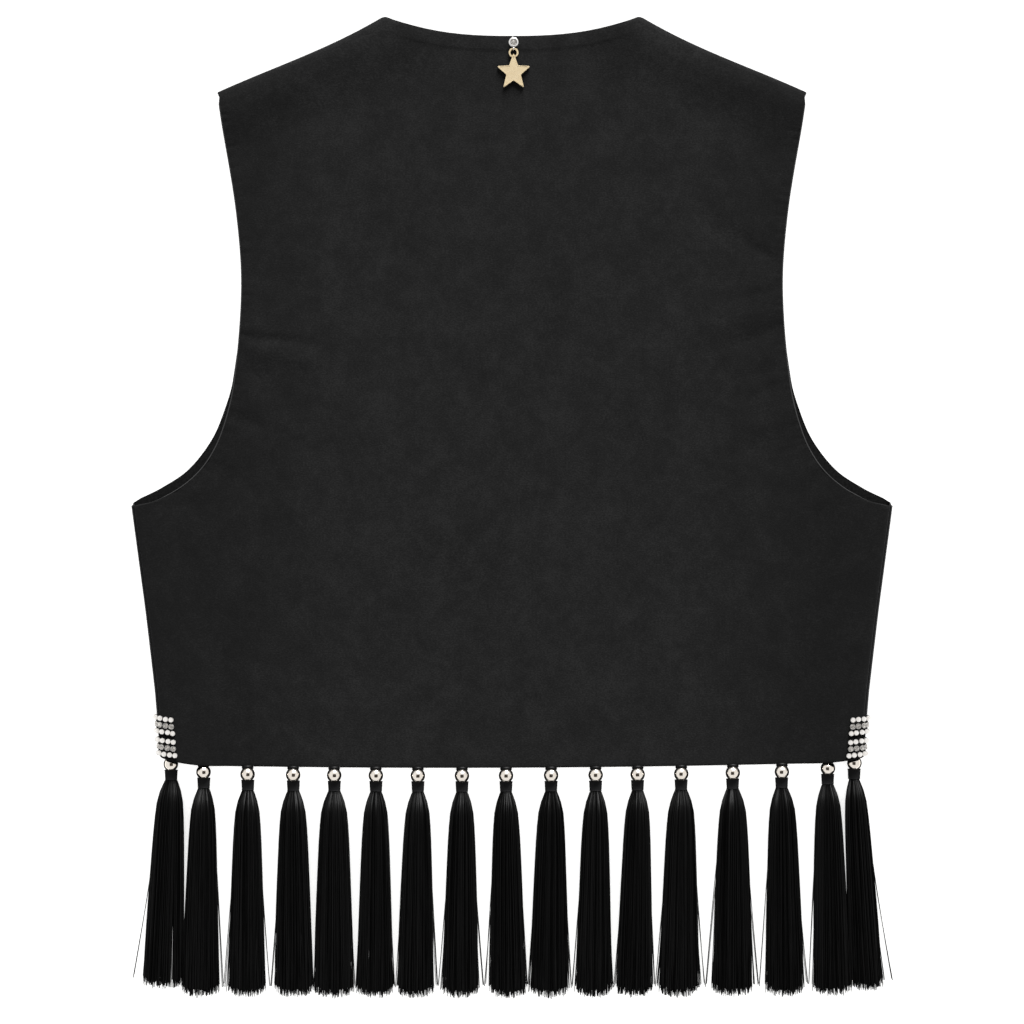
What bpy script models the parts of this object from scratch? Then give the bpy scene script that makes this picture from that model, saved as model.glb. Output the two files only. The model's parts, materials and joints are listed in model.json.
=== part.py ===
"""A cropped black gilet laid flat, face down, with beads and tassels along its hem and a star charm.

Metres, +Z up. The fronts rest on Z = 0 and the back lies on them. +X is to the right as seen from above
and +Y runs from the hem to the neck. The origin is the middle of the footprint, close to the line through
both underarms.
"""

import math
from collections import namedtuple

import bmesh
import bpy
from mathutils import Vector
from mathutils.geometry import interpolate_bezier

# Cloth and clearances
CLOTH = 0.0016
SEAM_GAP = 0.0003
LAYER_GAP = 0.0005
FLAT_TOP = 2 * CLOTH + LAYER_GAP

# Outline of the laid garment
HALF_LENGTH = 0.3032
NECK_HALF = 0.0797
NECK_DIP = 0.0120
NECK_POWER = 2.45
SHOULDER_HALF = 0.1827
SHOULDER_Y = 0.2561
SHOULDER_SAG = 0.0022
SAG_PEAK = 6.75
UNDERARM_HALF = 0.2356
HEM_Y = -0.1623
HEM_TILT = 0.0043
HEM_BOW = 0.0580
HEM_HALF = 0.2176
HEM_CORNER_Y = -0.1556
HEM_CORNER_RUN = 0.0340
FRONT_HEM_LIFT = 0.0030
FRONT_EDGE = 0.0010
FRONT_NECK_Y = 0.1180
FRONT_NECK_POWER = 0.85

# Folds: radius of the outside of the cloth, and how far each fold's lift runs into the panel
SHOULDER_FOLD = 0.0035
SHOULDER_SPREAD = 0.0450
UNDERARM_FOLD = 0.0050
SIDE_SPREAD = 0.0450
SEAM_ANGLE = 45
BACK_MID_ANGLE = 68

# Side line from the hem's corner up to the underarm
SideStation = namedtuple("SideStation", "y half_width fold_radius")
SIDE_LINE = (
    SideStation(HEM_CORNER_Y, HEM_HALF, 0.0062),
    SideStation(-0.1153, 0.2210, 0.0060),
    SideStation(-0.0657, 0.2269, 0.0056),
    SideStation(0.0, UNDERARM_HALF, UNDERARM_FOLD),
)
# Armhole edges from the underarm up to the shoulder tip
EdgePoint = namedtuple("EdgePoint", "half_width y")
BACK_ARMHOLE = (
    EdgePoint(0.2341, 0.0),
    EdgePoint(0.2199, 0.0037),
    EdgePoint(0.2037, 0.0129),
    EdgePoint(0.1902, 0.0265),
    EdgePoint(0.1804, 0.0453),
    EdgePoint(0.1728, 0.0756),
    EdgePoint(0.1679, 0.1339),
    EdgePoint(0.1709, 0.1804),
    EdgePoint(0.1798, 0.2362),
    EdgePoint(SHOULDER_HALF, SHOULDER_Y),
)
FRONT_UNDERARM = (
    EdgePoint(0.2350, 0.0012),
    EdgePoint(0.2341, 0.0025),
    EdgePoint(0.2322, 0.0037),
)
FRONT_ARMHOLE = (
    EdgePoint(0.2297, 0.0050),
    EdgePoint(0.2173, 0.0112),
    EdgePoint(0.2009, 0.0223),
    EdgePoint(0.1863, 0.0409),
    EdgePoint(0.1783, 0.0595),
    EdgePoint(0.1731, 0.0781),
    EdgePoint(0.1669, 0.1339),
    EdgePoint(0.1699, 0.1804),
    EdgePoint(0.1789, 0.2362),
    EdgePoint(SHOULDER_HALF, SHOULDER_Y),
)

# How finely the panels are divided: shares of a row's flat stretch and of a fold's radius at its edge
SIDE_ROWS = 6
ARMHOLE_ROWS = 13
CURVE_STEPS = 12
NECK_SHARE = NECK_HALF / (SHOULDER_HALF - 2 * UNDERARM_FOLD)
BACK_SHARES = (0.0, 0.15, 0.30, NECK_SHARE, 0.64, 0.80, 0.90, 0.95, 1.0)
BACK_EDGE_SHARES = (0.0, 0.4, 1.0)
FRONT_SHARES = (0.0, 0.25, 0.5, 0.72, 0.88, 0.95)
FRONT_FOLD_STEPS = 5
SHOULDER_ANGLES = (90, 45)
SLOPE_STEP = 0.001
SMOOTH_BELOW = math.radians(40)

# Beaded tapes round the side folds
BAND_THICK = 0.0010
BAND_HEIGHT = 0.0116
BAND_MIDDLES = {"upper": -0.1365, "lower": -0.1502}
BAND_INNER_REACH = 0.0106
BAND_ANGLES = (90, 75, 60, 45, 30, 15, 0, -15, -32)

# Balls and tassels
BALL_RADIUS = 0.0045
BALL_FLOAT = 0.0001
BALL_SEGMENTS = 12
BALL_RINGS = 8
HEAD_RADIUS = 0.0042
HEAD_LENGTH = 0.0058
HEAD_TOP_SHARE = 0.86
HEAD_CHAMFER = 0.0006
TASSEL_FLOAT = 0.0004
LOCK_COLUMNS = 6
LOCK_TIERS = 2
LOCK_STAGGER = 0.0035
SkirtRing = namedtuple("SkirtRing", "length_share width_share half_height lock_share")
SKIRT = (
    SkirtRing(0.14, 0.67, 0.0044, 0.86),
    SkirtRing(0.50, 0.86, 0.0044, 0.84),
    SkirtRing(1.00, 1.00, 0.0040, 0.78),
)
Tassel = namedtuple("Tassel", "ball_x tip_x tip_y tip_half_width")
TASSELS = (
    Tassel(-0.2120, -0.2170, -0.2976, 0.0119),
    Tassel(-0.1910, -0.1931, -0.3026, 0.0114),
    Tassel(-0.1637, -0.1644, -0.3026, 0.0116),
    Tassel(-0.1355, -0.1350, -0.3026, 0.0115),
    Tassel(-0.1101, -0.1105, -0.3032, 0.0122),
    Tassel(-0.0843, -0.0850, -0.3032, 0.0113),
    Tassel(-0.0583, -0.0598, -0.3032, 0.0114),
    Tassel(-0.0310, -0.0321, -0.3032, 0.0113),
    Tassel(-0.0037, -0.0027, -0.3032, 0.0113),
    Tassel(0.0242, 0.0229, -0.3032, 0.0121),
    Tassel(0.0518, 0.0504, -0.3030, 0.0113),
    Tassel(0.0778, 0.0753, -0.3026, 0.0113),
    Tassel(0.1048, 0.1032, -0.3026, 0.0124),
    Tassel(0.1367, 0.1367, -0.3024, 0.0126),
    Tassel(0.1671, 0.1690, -0.3022, 0.0120),
    Tassel(0.1956, 0.1984, -0.3020, 0.0118),
    Tassel(0.2120, 0.2201, -0.2988, 0.0093),
)

# Star charm at the back neck
CHARM_X = 0.0010
BEZEL_Y = 0.2869
BEZEL_RADIUS = 0.0032
BEZEL_BASE_RADIUS = 0.0030
BEZEL_WAIST_Z = 0.0015
BEZEL_HEIGHT = 0.0030
RECESS_RADIUS = 0.0023
RECESS_FLOOR = 0.0010
STONE_PROFILE = ((0.0005, 0.0014), (0.0019, 0.0025), (0.0019, 0.0027), (0.0011, 0.0035))
STONE_SIDES = 12
EYE_MIDDLE = 0.00105
EYE_WIRE = 0.00025
EYE_DROP = 0.00385
RING_MIDDLE = 0.0026
RING_WIRE = 0.0005
ROUND_STEPS = 24
WIRE_STEPS = 8
STAR_OUTER = 0.0112
STAR_INNER = 0.0053
STAR_WIDTH_SHARE = 0.92
STAR_BOTTOM = -0.0013
STAR_EDGE = 0.0003
STAR_TOP = 0.0009
STAR_BEVEL = 0.80
STAR_TIP_IN_RING = 0.0020
STAR_POINTS = 5

# Looks: linear colour, roughness, metallic
FINISHES = {
    "black cloth": ((0.016, 0.016, 0.017), 0.85, 0.0),
    "black thread": ((0.006, 0.006, 0.006), 0.45, 0.0),
    "polished steel": ((0.78, 0.75, 0.71), 0.12, 1.0),
    "pearl": ((0.86, 0.83, 0.79), 0.25, 0.0),
    "gold plate": ((0.80, 0.62, 0.33), 0.28, 1.0),
    "clear stone": ((0.80, 0.82, 0.85), 0.05, 0.0),
}


def clear_scene():
    for old in list(bpy.data.objects):
        bpy.data.objects.remove(old)


def finish(name):
    """The named material, made once."""
    found = bpy.data.materials.get(name)
    if found:
        return found
    colour, roughness, metallic = FINISHES[name]
    made = bpy.data.materials.new(name)
    made.use_nodes = True
    shader = made.node_tree.nodes["Principled BSDF"]
    shader.inputs["Base Color"].default_value = (*colour, 1.0)
    shader.inputs["Roughness"].default_value = roughness
    shader.inputs["Metallic"].default_value = metallic
    return made


def add_object(name, mesh_maker, look, parent=None, location=(0, 0, 0), smooth=True):
    """A named object whose mesh is what mesh_maker leaves in a bmesh."""
    shape = bmesh.new()
    mesh_maker(shape)
    bmesh.ops.recalc_face_normals(shape, faces=shape.faces)
    mesh = bpy.data.meshes.new(name)
    shape.to_mesh(mesh)
    shape.free()
    mesh.materials.append(finish(look))
    if smooth:
        mesh.shade_smooth()
        mesh.set_sharp_from_angle(angle=SMOOTH_BELOW)
    made = bpy.data.objects.new(name, mesh)
    made.location = location
    made.parent = parent
    bpy.context.scene.collection.objects.link(made)
    return made


def add_empty(name, location=(0, 0, 0)):
    made = bpy.data.objects.new(name, None)
    made.location = location
    bpy.context.scene.collection.objects.link(made)
    return made


def mix(low, high, share):
    return low + (high - low) * share


def ease(share):
    """0 to 1 with no slope at either end."""
    held = min(1.0, max(0.0, share))
    return held * held * (3 - 2 * held)


def fade(share):
    """1 falling to 0 along half a cosine wave."""
    held = min(1.0, max(0.0, share))
    return 0.5 + 0.5 * math.cos(math.pi * held)


def spaced(line, count):
    """count points spread evenly along a line of points."""
    lengths = [0.0]
    for before, after in zip(line, line[1:]):
        lengths.append(lengths[-1] + (after - before).length)
    found = []
    span = 0
    for step in range(count):
        want = lengths[-1] * step / (count - 1)
        while span < len(line) - 2 and lengths[span + 1] < want:
            span += 1
        share = (want - lengths[span]) / (lengths[span + 1] - lengths[span])
        found.append(line[span].lerp(line[span + 1], share))
    return found


def smooth_line(knots):
    """A smooth line through the knots, with handles a third of each span long."""
    points = [Vector((x, y, 0)) for x, y in knots]
    last = len(points) - 1
    slopes = [(points[min(i + 1, last)] - points[max(i - 1, 0)]).normalized() for i in range(last + 1)]
    line = [points[0]]
    for i in range(last):
        reach = (points[i + 1] - points[i]).length / 3
        out = points[i] + slopes[i] * reach
        back = points[i + 1] - slopes[i + 1] * reach
        line += interpolate_bezier(points[i], out, back, points[i + 1], CURVE_STEPS)[1:]
    return line


def side_at(y):
    """Half width and fold radius of the side line at this height."""
    for low, high in zip(SIDE_LINE, SIDE_LINE[1:]):
        if y <= high.y or high is SIDE_LINE[-1]:
            share = min(1.0, max(0.0, (y - low.y) / (high.y - low.y)))
            half = mix(low.half_width, high.half_width, share)
            return half, mix(low.fold_radius, high.fold_radius, share)


def hem_y(x):
    """Height of the hem, which tilts and bows a little and curves up at its corners."""

    def run(place):
        return HEM_Y + HEM_TILT * place + HEM_BOW * place**2

    past_bend = max(0.0, abs(x) - (HEM_HALF - HEM_CORNER_RUN)) / HEM_CORNER_RUN
    return run(x) + (HEM_CORNER_Y - run(math.copysign(HEM_HALF, x))) * past_bend**2


def top_y(x):
    """Height of the neckline and the shoulder lines."""
    out = abs(x)
    if out <= NECK_HALF:
        return HALF_LENGTH - NECK_DIP * (1 - (out / NECK_HALF) ** NECK_POWER)
    share = (out - NECK_HALF) / (SHOULDER_HALF - NECK_HALF)
    sag = SHOULDER_SAG * SAG_PEAK * share * (1 - share) ** 2
    return mix(HALF_LENGTH, SHOULDER_Y, share) - sag


def shoulder_way():
    """Unit vector across the right shoulder line, pointing off the garment."""
    along = Vector((SHOULDER_HALF - NECK_HALF, SHOULDER_Y - HALF_LENGTH, 0)).normalized()
    return Vector((-along.y, along.x, 0))


def top_height(x, y):
    """Height of the back's upper face: flat, lifted towards the side folds and the shoulder folds."""
    out = abs(x)
    side_half, fold = side_at(y)
    to_side = side_half - out if y <= 0 else math.hypot(UNDERARM_HALF - out, y)
    side_lift = (2 * fold - FLAT_TOP) * fade((to_side - fold) / SIDE_SPREAD)
    if out < NECK_HALF:
        to_shoulder = math.hypot(NECK_HALF - out, HALF_LENGTH - y)
    else:
        to_shoulder = (top_y(min(out, SHOULDER_HALF)) - y) * shoulder_way().y
    shoulder_lift = (2 * SHOULDER_FOLD - FLAT_TOP) * fade((to_shoulder - SHOULDER_FOLD) / SHOULDER_SPREAD)
    return FLAT_TOP + max(side_lift, shoulder_lift)


def top_point(x, y):
    """A point of the back's upper face with its normal."""
    slope_x = (top_height(x + SLOPE_STEP, y) - top_height(x - SLOPE_STEP, y)) / (2 * SLOPE_STEP)
    slope_y = (top_height(x, y + SLOPE_STEP) - top_height(x, y - SLOPE_STEP)) / (2 * SLOPE_STEP)
    return Vector((x, y, top_height(x, y))), Vector((-slope_x, -slope_y, 1)).normalized()


def fold_point(side, y, angle):
    """A point round the side fold, with its normal: -90 degrees is on the floor, 0 outermost, 90 on top."""
    half, fold = side_at(y)
    way = Vector((side * math.cos(angle), 0, math.sin(angle)))
    return Vector((side * (half - fold), y, fold)) + way * fold, way


def shoulder_point(x, angle):
    """A point round the shoulder fold, with its normal. x is where it lies along the shoulder line."""
    across = shoulder_way()
    across.x *= math.copysign(1, x)
    way = across * math.cos(angle) + Vector((0, 0, math.sin(angle)))
    line = Vector((x, top_y(x), SHOULDER_FOLD))
    return line - across * SHOULDER_FOLD + way * SHOULDER_FOLD, way


def wall(shape, grid, thick):
    """A closed wall from a grid of (outer point, normal), with its inner face thick behind the outer."""
    outer = [[shape.verts.new(point) for point, _ in row] for row in grid]
    inner = [[shape.verts.new(point - way * thick) for point, way in row] for row in grid]
    rows, columns = len(grid), len(grid[0])
    for i in range(rows - 1):
        for j in range(columns - 1):
            for face in (outer, inner):
                shape.faces.new((face[i][j], face[i][j + 1], face[i + 1][j + 1], face[i + 1][j]))
    rim = [(0, j) for j in range(columns)]
    rim += [(i, columns - 1) for i in range(1, rows)]
    rim += [(rows - 1, j) for j in range(columns - 2, -1, -1)]
    rim += [(i, 0) for i in range(rows - 2, 0, -1)]
    for (i, j), (k, m) in zip(rim, rim[1:] + rim[:1]):
        shape.faces.new((outer[i][j], outer[k][m], inner[k][m], inner[i][j]))


def row_bow(edge_y):
    """How much of the top line's shape a row has, from none at the underarm to all at the top."""
    return ease(edge_y / (SHOULDER_Y - 2 * SHOULDER_FOLD))


def row_hang(edge_y):
    """How much of the hem's shape a row has, from all at the hem to none at the underarm."""
    return ease(edge_y / HEM_CORNER_Y)


def side_heights():
    return [HEM_CORNER_Y * (1 - step / SIDE_ROWS) for step in range(SIDE_ROWS + 1)]


def armhole_rows(knots):
    """Edge points of the rows between the underarm and the shoulder fold."""
    line = [p for p in smooth_line(knots) if p.y <= SHOULDER_Y - 2 * SHOULDER_FOLD]
    return spaced(line, ARMHOLE_ROWS)


def seam_half_angle(fold):
    return SEAM_GAP / 2 / fold


def back_row(edge_half, edge_y, fold, round_points):
    """One row of the back: round points of the side fold, then flat points, on both sides of the middle."""
    flat_half = edge_half - 2 * fold
    shares = [-share for share in BACK_SHARES[:0:-1]] + list(BACK_SHARES)
    bow = row_bow(edge_y)
    hang = row_hang(edge_y)
    top_flat = SHOULDER_HALF - 2 * UNDERARM_FOLD

    def height(x, top_x):
        return edge_y + bow * (top_y(top_x) - SHOULDER_Y) + hang * (hem_y(x) - HEM_CORNER_Y)

    middle = [top_point(share * flat_half, height(share * flat_half, share * top_flat)) for share in shares]
    left = [round_points(-1, step, height) for step in range(3)]
    right = [round_points(1, step, height) for step in range(2, -1, -1)]
    return left + middle + right


def back_side_row(y):
    half, fold = side_at(y)
    seam_angle = math.radians(SEAM_ANGLE) + seam_half_angle(fold)
    angles = (seam_angle, math.radians(BACK_MID_ANGLE), math.radians(90))

    def round_points(side, step, height):
        point, way = fold_point(side, y, angles[step])
        point.y = height(point.x, side * SHOULDER_HALF)
        return point, way

    return back_row(half, y, fold, round_points)


def back_armhole_row(edge):
    def round_points(side, step, height):
        inset = BACK_EDGE_SHARES[step] * UNDERARM_FOLD
        x = side * (edge.x - inset)
        return top_point(x, height(x, side * (SHOULDER_HALF - inset)))

    return back_row(edge.x, edge.y, UNDERARM_FOLD, round_points)


def back_top_row(angle):
    """A row over the shoulder folds; between the neck points it is flat and follows the neckline."""
    flat_half = SHOULDER_HALF - 2 * UNDERARM_FOLD
    outer = [SHOULDER_HALF - share * UNDERARM_FOLD for share in BACK_EDGE_SHARES]
    places = outer + [share * flat_half for share in BACK_SHARES[:0:-1]]
    below_edge = SHOULDER_FOLD * (1 - math.cos(angle))
    row = []
    for x in [-place for place in places] + [0.0] + places[::-1]:
        if abs(x) < NECK_HALF - SEAM_GAP:
            row.append(top_point(x, top_y(x) - below_edge))
        else:
            row.append(shoulder_point(x, angle))
    return row


def make_back(shape):
    seam = seam_half_angle(SHOULDER_FOLD)
    grid = [back_side_row(y) for y in side_heights()]
    grid += [back_armhole_row(edge) for edge in armhole_rows(BACK_ARMHOLE)[1:]]
    grid += [back_top_row(math.radians(angle)) for angle in SHOULDER_ANGLES]
    grid.append(back_top_row(seam))
    wall(shape, grid, CLOTH)


def front_inner_x(y):
    """Where the front's inner edge lies: straight up the middle, then out along the neckline."""
    if y <= FRONT_NECK_Y:
        return FRONT_EDGE
    share = (y - FRONT_NECK_Y) / (HALF_LENGTH - FRONT_NECK_Y)
    return mix(FRONT_EDGE, NECK_HALF, share**FRONT_NECK_POWER)


def front_hem_lift(share):
    """How much shorter than the back a front is, from its inner edge, at 0, to the side fold, at 1."""
    return FRONT_HEM_LIFT * (1 - share) ** 2


def front_row(side, edge_y, flat_end, round_points):
    """One row of a front: flat points on the floor from its inner edge, then those of its outer edge."""
    bow = row_bow(edge_y)
    hang = row_hang(edge_y)

    def height(x, share):
        top_x = mix(NECK_HALF, SHOULDER_HALF, share)
        lift = front_hem_lift(share)
        return edge_y + bow * (top_y(top_x) - SHOULDER_Y) + hang * (hem_y(side * x) - HEM_CORNER_Y + lift)

    inner = front_inner_x(height(FRONT_EDGE, 0.0))
    row = []
    for share in FRONT_SHARES:
        x = mix(inner, flat_end, share)
        row.append((Vector((side * x, height(x, share), 0)), Vector((0, 0, -1))))
    for point, way, share in round_points:
        row.append((Vector((point.x, height(abs(point.x), share), point.z)), way))
    return row


def front_fold_row(side, edge_y, end_angle):
    """A row that runs up round the side fold as far as end_angle."""
    half, fold = side_at(edge_y)
    points = []
    for step in range(FRONT_FOLD_STEPS + 1):
        angle = mix(math.radians(-90), end_angle, step / FRONT_FOLD_STEPS)
        points.append((*fold_point(side, edge_y, angle), 1.0))
    return front_row(side, edge_y, half - fold, points)


def front_armhole_row(side, edge):
    """A row that ends flat on the floor at the front's armhole edge."""
    flat_end = edge.x - UNDERARM_FOLD
    down = Vector((0, 0, -1))
    points = []
    for step in range(FRONT_FOLD_STEPS + 1):
        x = mix(flat_end, edge.x, step / FRONT_FOLD_STEPS)
        points.append((Vector((side * x, 0, 0)), down, 1.0))
    return front_row(side, edge.y, flat_end, points)


def front_top_row(side, angle):
    """A row under the shoulder fold, from the neck point to the shoulder tip."""
    flat_end = SHOULDER_HALF - UNDERARM_FOLD
    places = [mix(NECK_HALF, flat_end, share) for share in FRONT_SHARES]
    for step in range(FRONT_FOLD_STEPS + 1):
        places.append(mix(flat_end, SHOULDER_HALF, step / FRONT_FOLD_STEPS))
    return [shoulder_point(side * x, angle) for x in places]


def make_front(shape, side):
    grid = []
    for y in side_heights():
        fold = side_at(y)[1]
        grid.append(front_fold_row(side, y, math.radians(SEAM_ANGLE) - seam_half_angle(fold)))
    for half, y in FRONT_UNDERARM:
        end_angle = -math.acos(1 - (UNDERARM_HALF - half) / UNDERARM_FOLD)
        grid.append(front_fold_row(side, y, end_angle))
    grid += [front_armhole_row(side, edge) for edge in armhole_rows(FRONT_ARMHOLE)]
    grid += [front_top_row(side, math.radians(-angle)) for angle in SHOULDER_ANGLES]
    grid.append(front_top_row(side, -seam_half_angle(SHOULDER_FOLD)))
    wall(shape, grid, CLOTH)


def make_band(shape, side, middle):
    """A tape from the back round the side fold, made from the cloth's points, moved out."""
    grid = []
    for edge in (-0.5, 0.5):
        base_y = middle + edge * BAND_HEIGHT
        half, fold = side_at(base_y)
        inner = half - BAND_INNER_REACH
        places = [side * mix(inner, half - fold, share) for share in (0, 0.5)]
        flat = [lambda y, x=x: top_point(x, y) for x in places]
        bent = [lambda y, angle=angle: fold_point(side, y, math.radians(angle)) for angle in BAND_ANGLES]
        row = []
        for station in flat + bent:
            rise = hem_y(station(base_y)[0].x) - hem_y(side * inner)
            point, way = station(base_y + rise)
            row.append((point + way * (SEAM_GAP + BAND_THICK), way))
        grid.append(row)
    wall(shape, grid, BAND_THICK)


def make_ball(shape):
    bmesh.ops.create_uvsphere(shape, u_segments=BALL_SEGMENTS, v_segments=BALL_RINGS, radius=BALL_RADIUS)


def ball_place(tassel):
    """Centre of a ball on the floor, a seam's gap below whichever cloth edge of the hem it meets first."""
    x = tassel.ball_x
    centre_z = BALL_RADIUS + BALL_FLOAT
    edge_y = hem_y(x)
    back_top = top_height(x, edge_y)
    edges = ((back_top - CLOTH, back_top, edge_y), (0.0, CLOTH, edge_y + front_hem_lift(abs(x) / HEM_HALF)))
    lowest = edge_y
    for bottom, top, y in edges:
        off = min(BALL_RADIUS, abs(min(max(centre_z, bottom), top) - centre_z))
        lowest = min(lowest, y - SEAM_GAP - math.sqrt(BALL_RADIUS**2 - off**2))
    return Vector((x, lowest, centre_z))


def disc_corner(i, k):
    """A corner of the lock grid, spread from a square onto a disc of radius 1."""
    p = 2 * i / LOCK_COLUMNS - 1
    q = 2 * k / LOCK_TIERS - 1
    return Vector((p * math.sqrt(1 - q * q / 2), 0, q * math.sqrt(1 - p * p / 2)))


def grid_rim():
    """The lock grid's outer corners in order round the disc."""
    rim = [(i, 0) for i in range(LOCK_COLUMNS)]
    rim += [(LOCK_COLUMNS, k) for k in range(LOCK_TIERS)]
    rim += [(i, LOCK_TIERS) for i in range(LOCK_COLUMNS, 0, -1)]
    rim += [(0, k) for k in range(LOCK_TIERS, 0, -1)]
    return rim


def lock_stagger(number):
    """How much shorter than the longest each lock is, in an uneven repeat."""
    return LOCK_STAGGER * (number * 5 % 7) / 6


def make_tassel(shape, tassel):
    """A bound head with locks that grow from the cells of its lower end and spread along the floor."""
    start = ball_place(tassel) - Vector((0, BALL_RADIUS + SEAM_GAP, 0))
    head_z = HEAD_RADIUS + TASSEL_FLOAT
    root = Vector((0, -HEAD_LENGTH, head_z))
    corners = {}
    for i in range(LOCK_COLUMNS + 1):
        for k in range(LOCK_TIERS + 1):
            corners[i, k] = shape.verts.new(root + disc_corner(i, k) * HEAD_RADIUS)
    rings = [[corners[place] for place in grid_rim()]]
    for y, share in ((-HEAD_CHAMFER, 1.0), (0.0, HEAD_TOP_SHARE)):
        centre = Vector((0, y, head_z))
        spots = [centre + disc_corner(*place) * HEAD_RADIUS * share for place in grid_rim()]
        rings.append([shape.verts.new(spot) for spot in spots])
    for lower, upper in zip(rings, rings[1:]):
        for n in range(len(lower)):
            after = (n + 1) % len(lower)
            shape.faces.new((lower[n], lower[after], upper[after], upper[n]))
    shape.faces.new(rings[-1])

    skirt = Vector((tassel.tip_x - start.x, tassel.tip_y - start.y + HEAD_LENGTH, 0))
    number = 0
    for i in range(LOCK_COLUMNS):
        for k in range(LOCK_TIERS):
            cell = ((i, k), (i + 1, k), (i + 1, k + 1), (i, k + 1))
            centre = sum((disc_corner(*place) for place in cell), Vector()) / 4
            lower = [corners[place] for place in cell]
            trim = 1 - lock_stagger(number) / -skirt.y
            number += 1
            for level in SKIRT:
                along = skirt * level.length_share * trim
                along += Vector((0, -HEAD_LENGTH, level.half_height + TASSEL_FLOAT))
                ring = []
                for place in cell:
                    spot = centre + (disc_corner(*place) - centre) * level.lock_share
                    wide = spot.x * tassel.tip_half_width * level.width_share
                    ring.append(shape.verts.new(along + Vector((wide, 0, spot.z * level.half_height))))
                for n in range(4):
                    after = (n + 1) % 4
                    shape.faces.new((lower[n], lower[after], ring[after], ring[n]))
                lower = ring
            shape.faces.new(lower)


def make_turned(shape, profile, steps):
    """A closed solid turned round Z from (radius, height) points that start and end on the axis."""
    rings = []
    for radius, height in profile:
        if radius == 0:
            rings.append([shape.verts.new((0, 0, height))])
            continue
        angles = [2 * math.pi * n / steps for n in range(steps)]
        spots = [(radius * math.cos(a), radius * math.sin(a), height) for a in angles]
        rings.append([shape.verts.new(spot) for spot in spots])
    for lower, upper in zip(rings, rings[1:]):
        for n in range(steps):
            after = (n + 1) % steps
            if len(lower) == 1:
                shape.faces.new((lower[0], upper[n], upper[after]))
            elif len(upper) == 1:
                shape.faces.new((lower[n], lower[after], upper[0]))
            else:
                shape.faces.new((lower[n], lower[after], upper[after], upper[n]))


def make_ring(shape, middle, wire, centre, across, up):
    """A ring of round wire in the plane of the two unit vectors."""
    normal = across.cross(up)
    loops = []
    for n in range(ROUND_STEPS):
        turn = 2 * math.pi * n / ROUND_STEPS
        out = across * math.cos(turn) + up * math.sin(turn)
        loop = []
        for m in range(WIRE_STEPS):
            twist = 2 * math.pi * m / WIRE_STEPS
            point = centre + out * (middle + wire * math.cos(twist)) + normal * wire * math.sin(twist)
            loop.append(shape.verts.new(point))
        loops.append(loop)
    for n in range(ROUND_STEPS):
        for m in range(WIRE_STEPS):
            after, turn = (n + 1) % ROUND_STEPS, (m + 1) % WIRE_STEPS
            shape.faces.new((loops[n][m], loops[n][turn], loops[after][turn], loops[after][m]))


def join_with(piece, mesh_maker):
    """Fuses a second shape, kept as a hidden helper, to the piece."""
    look = piece.data.materials[0].name
    helper = add_object(piece.name + ".joined", mesh_maker, look, piece.parent, piece.location)
    helper.hide_render = True
    helper.display_type = "WIRE"
    union = piece.modifiers.new("join", "BOOLEAN")
    union.operation = "UNION"
    union.object = helper


def make_bezel(shape):
    make_turned(
        shape,
        (
            (0, 0),
            (BEZEL_BASE_RADIUS, 0),
            (BEZEL_RADIUS, BEZEL_WAIST_Z),
            (BEZEL_BASE_RADIUS, BEZEL_HEIGHT),
            (RECESS_RADIUS, BEZEL_HEIGHT),
            (RECESS_RADIUS, RECESS_FLOOR),
            (0, RECESS_FLOOR),
        ),
        ROUND_STEPS,
    )


def make_stone(shape):
    low, high = STONE_PROFILE[0][1], STONE_PROFILE[-1][1]
    make_turned(shape, ((0, low), *STONE_PROFILE, (0, high)), STONE_SIDES)


def make_star(shape):
    """A five-pointed star that hangs below the ring, with a bevelled upper edge."""
    centre = Vector((0, -2 * RING_MIDDLE + STAR_TIP_IN_RING - STAR_OUTER, 0))
    levels = ((STAR_BOTTOM, 1.0), (STAR_EDGE, 1.0), (STAR_TOP, STAR_BEVEL))
    rings = []
    for height, share in levels:
        ring = []
        for n in range(2 * STAR_POINTS):
            turn = math.pi / 2 + math.pi * n / STAR_POINTS
            reach = share * (STAR_OUTER if n % 2 == 0 else STAR_INNER)
            spot = Vector((STAR_WIDTH_SHARE * reach * math.cos(turn), reach * math.sin(turn), height))
            ring.append(shape.verts.new(centre + spot))
        rings.append(ring)
    for lower, upper in zip(rings, rings[1:]):
        for n in range(len(lower)):
            after = (n + 1) % len(lower)
            shape.faces.new((lower[n], lower[after], upper[after], upper[n]))
    for ring, height in ((rings[0], STAR_BOTTOM), (rings[-1], STAR_TOP)):
        hub = shape.verts.new(centre + Vector((0, 0, height)))
        for n in range(len(ring)):
            shape.faces.new((ring[n], ring[(n + 1) % len(ring)], hub))


def add_charm(garment):
    across, up, out = Vector((1, 0, 0)), Vector((0, 1, 0)), Vector((0, 0, 1))
    seat = Vector((CHARM_X, BEZEL_Y, FLAT_TOP + SEAM_GAP))
    axis_height = EYE_MIDDLE + EYE_WIRE
    bezel = add_object("charm_bezel", make_bezel, "polished steel", garment, seat)
    eye = Vector((0, -EYE_DROP, axis_height))
    join_with(bezel, lambda shape: make_ring(shape, EYE_MIDDLE, EYE_WIRE, eye, up, out))
    add_object("charm_stone", make_stone, "clear stone", garment, seat, smooth=False)
    hinge = add_empty("charm_hinge", seat + eye)
    hinge.parent = garment
    star = add_object("star_charm", make_star, "gold plate", hinge, smooth=False)
    middle = Vector((0, -RING_MIDDLE, 0))
    join_with(star, lambda shape: make_ring(shape, RING_MIDDLE, RING_WIRE, middle, across, up))


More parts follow.
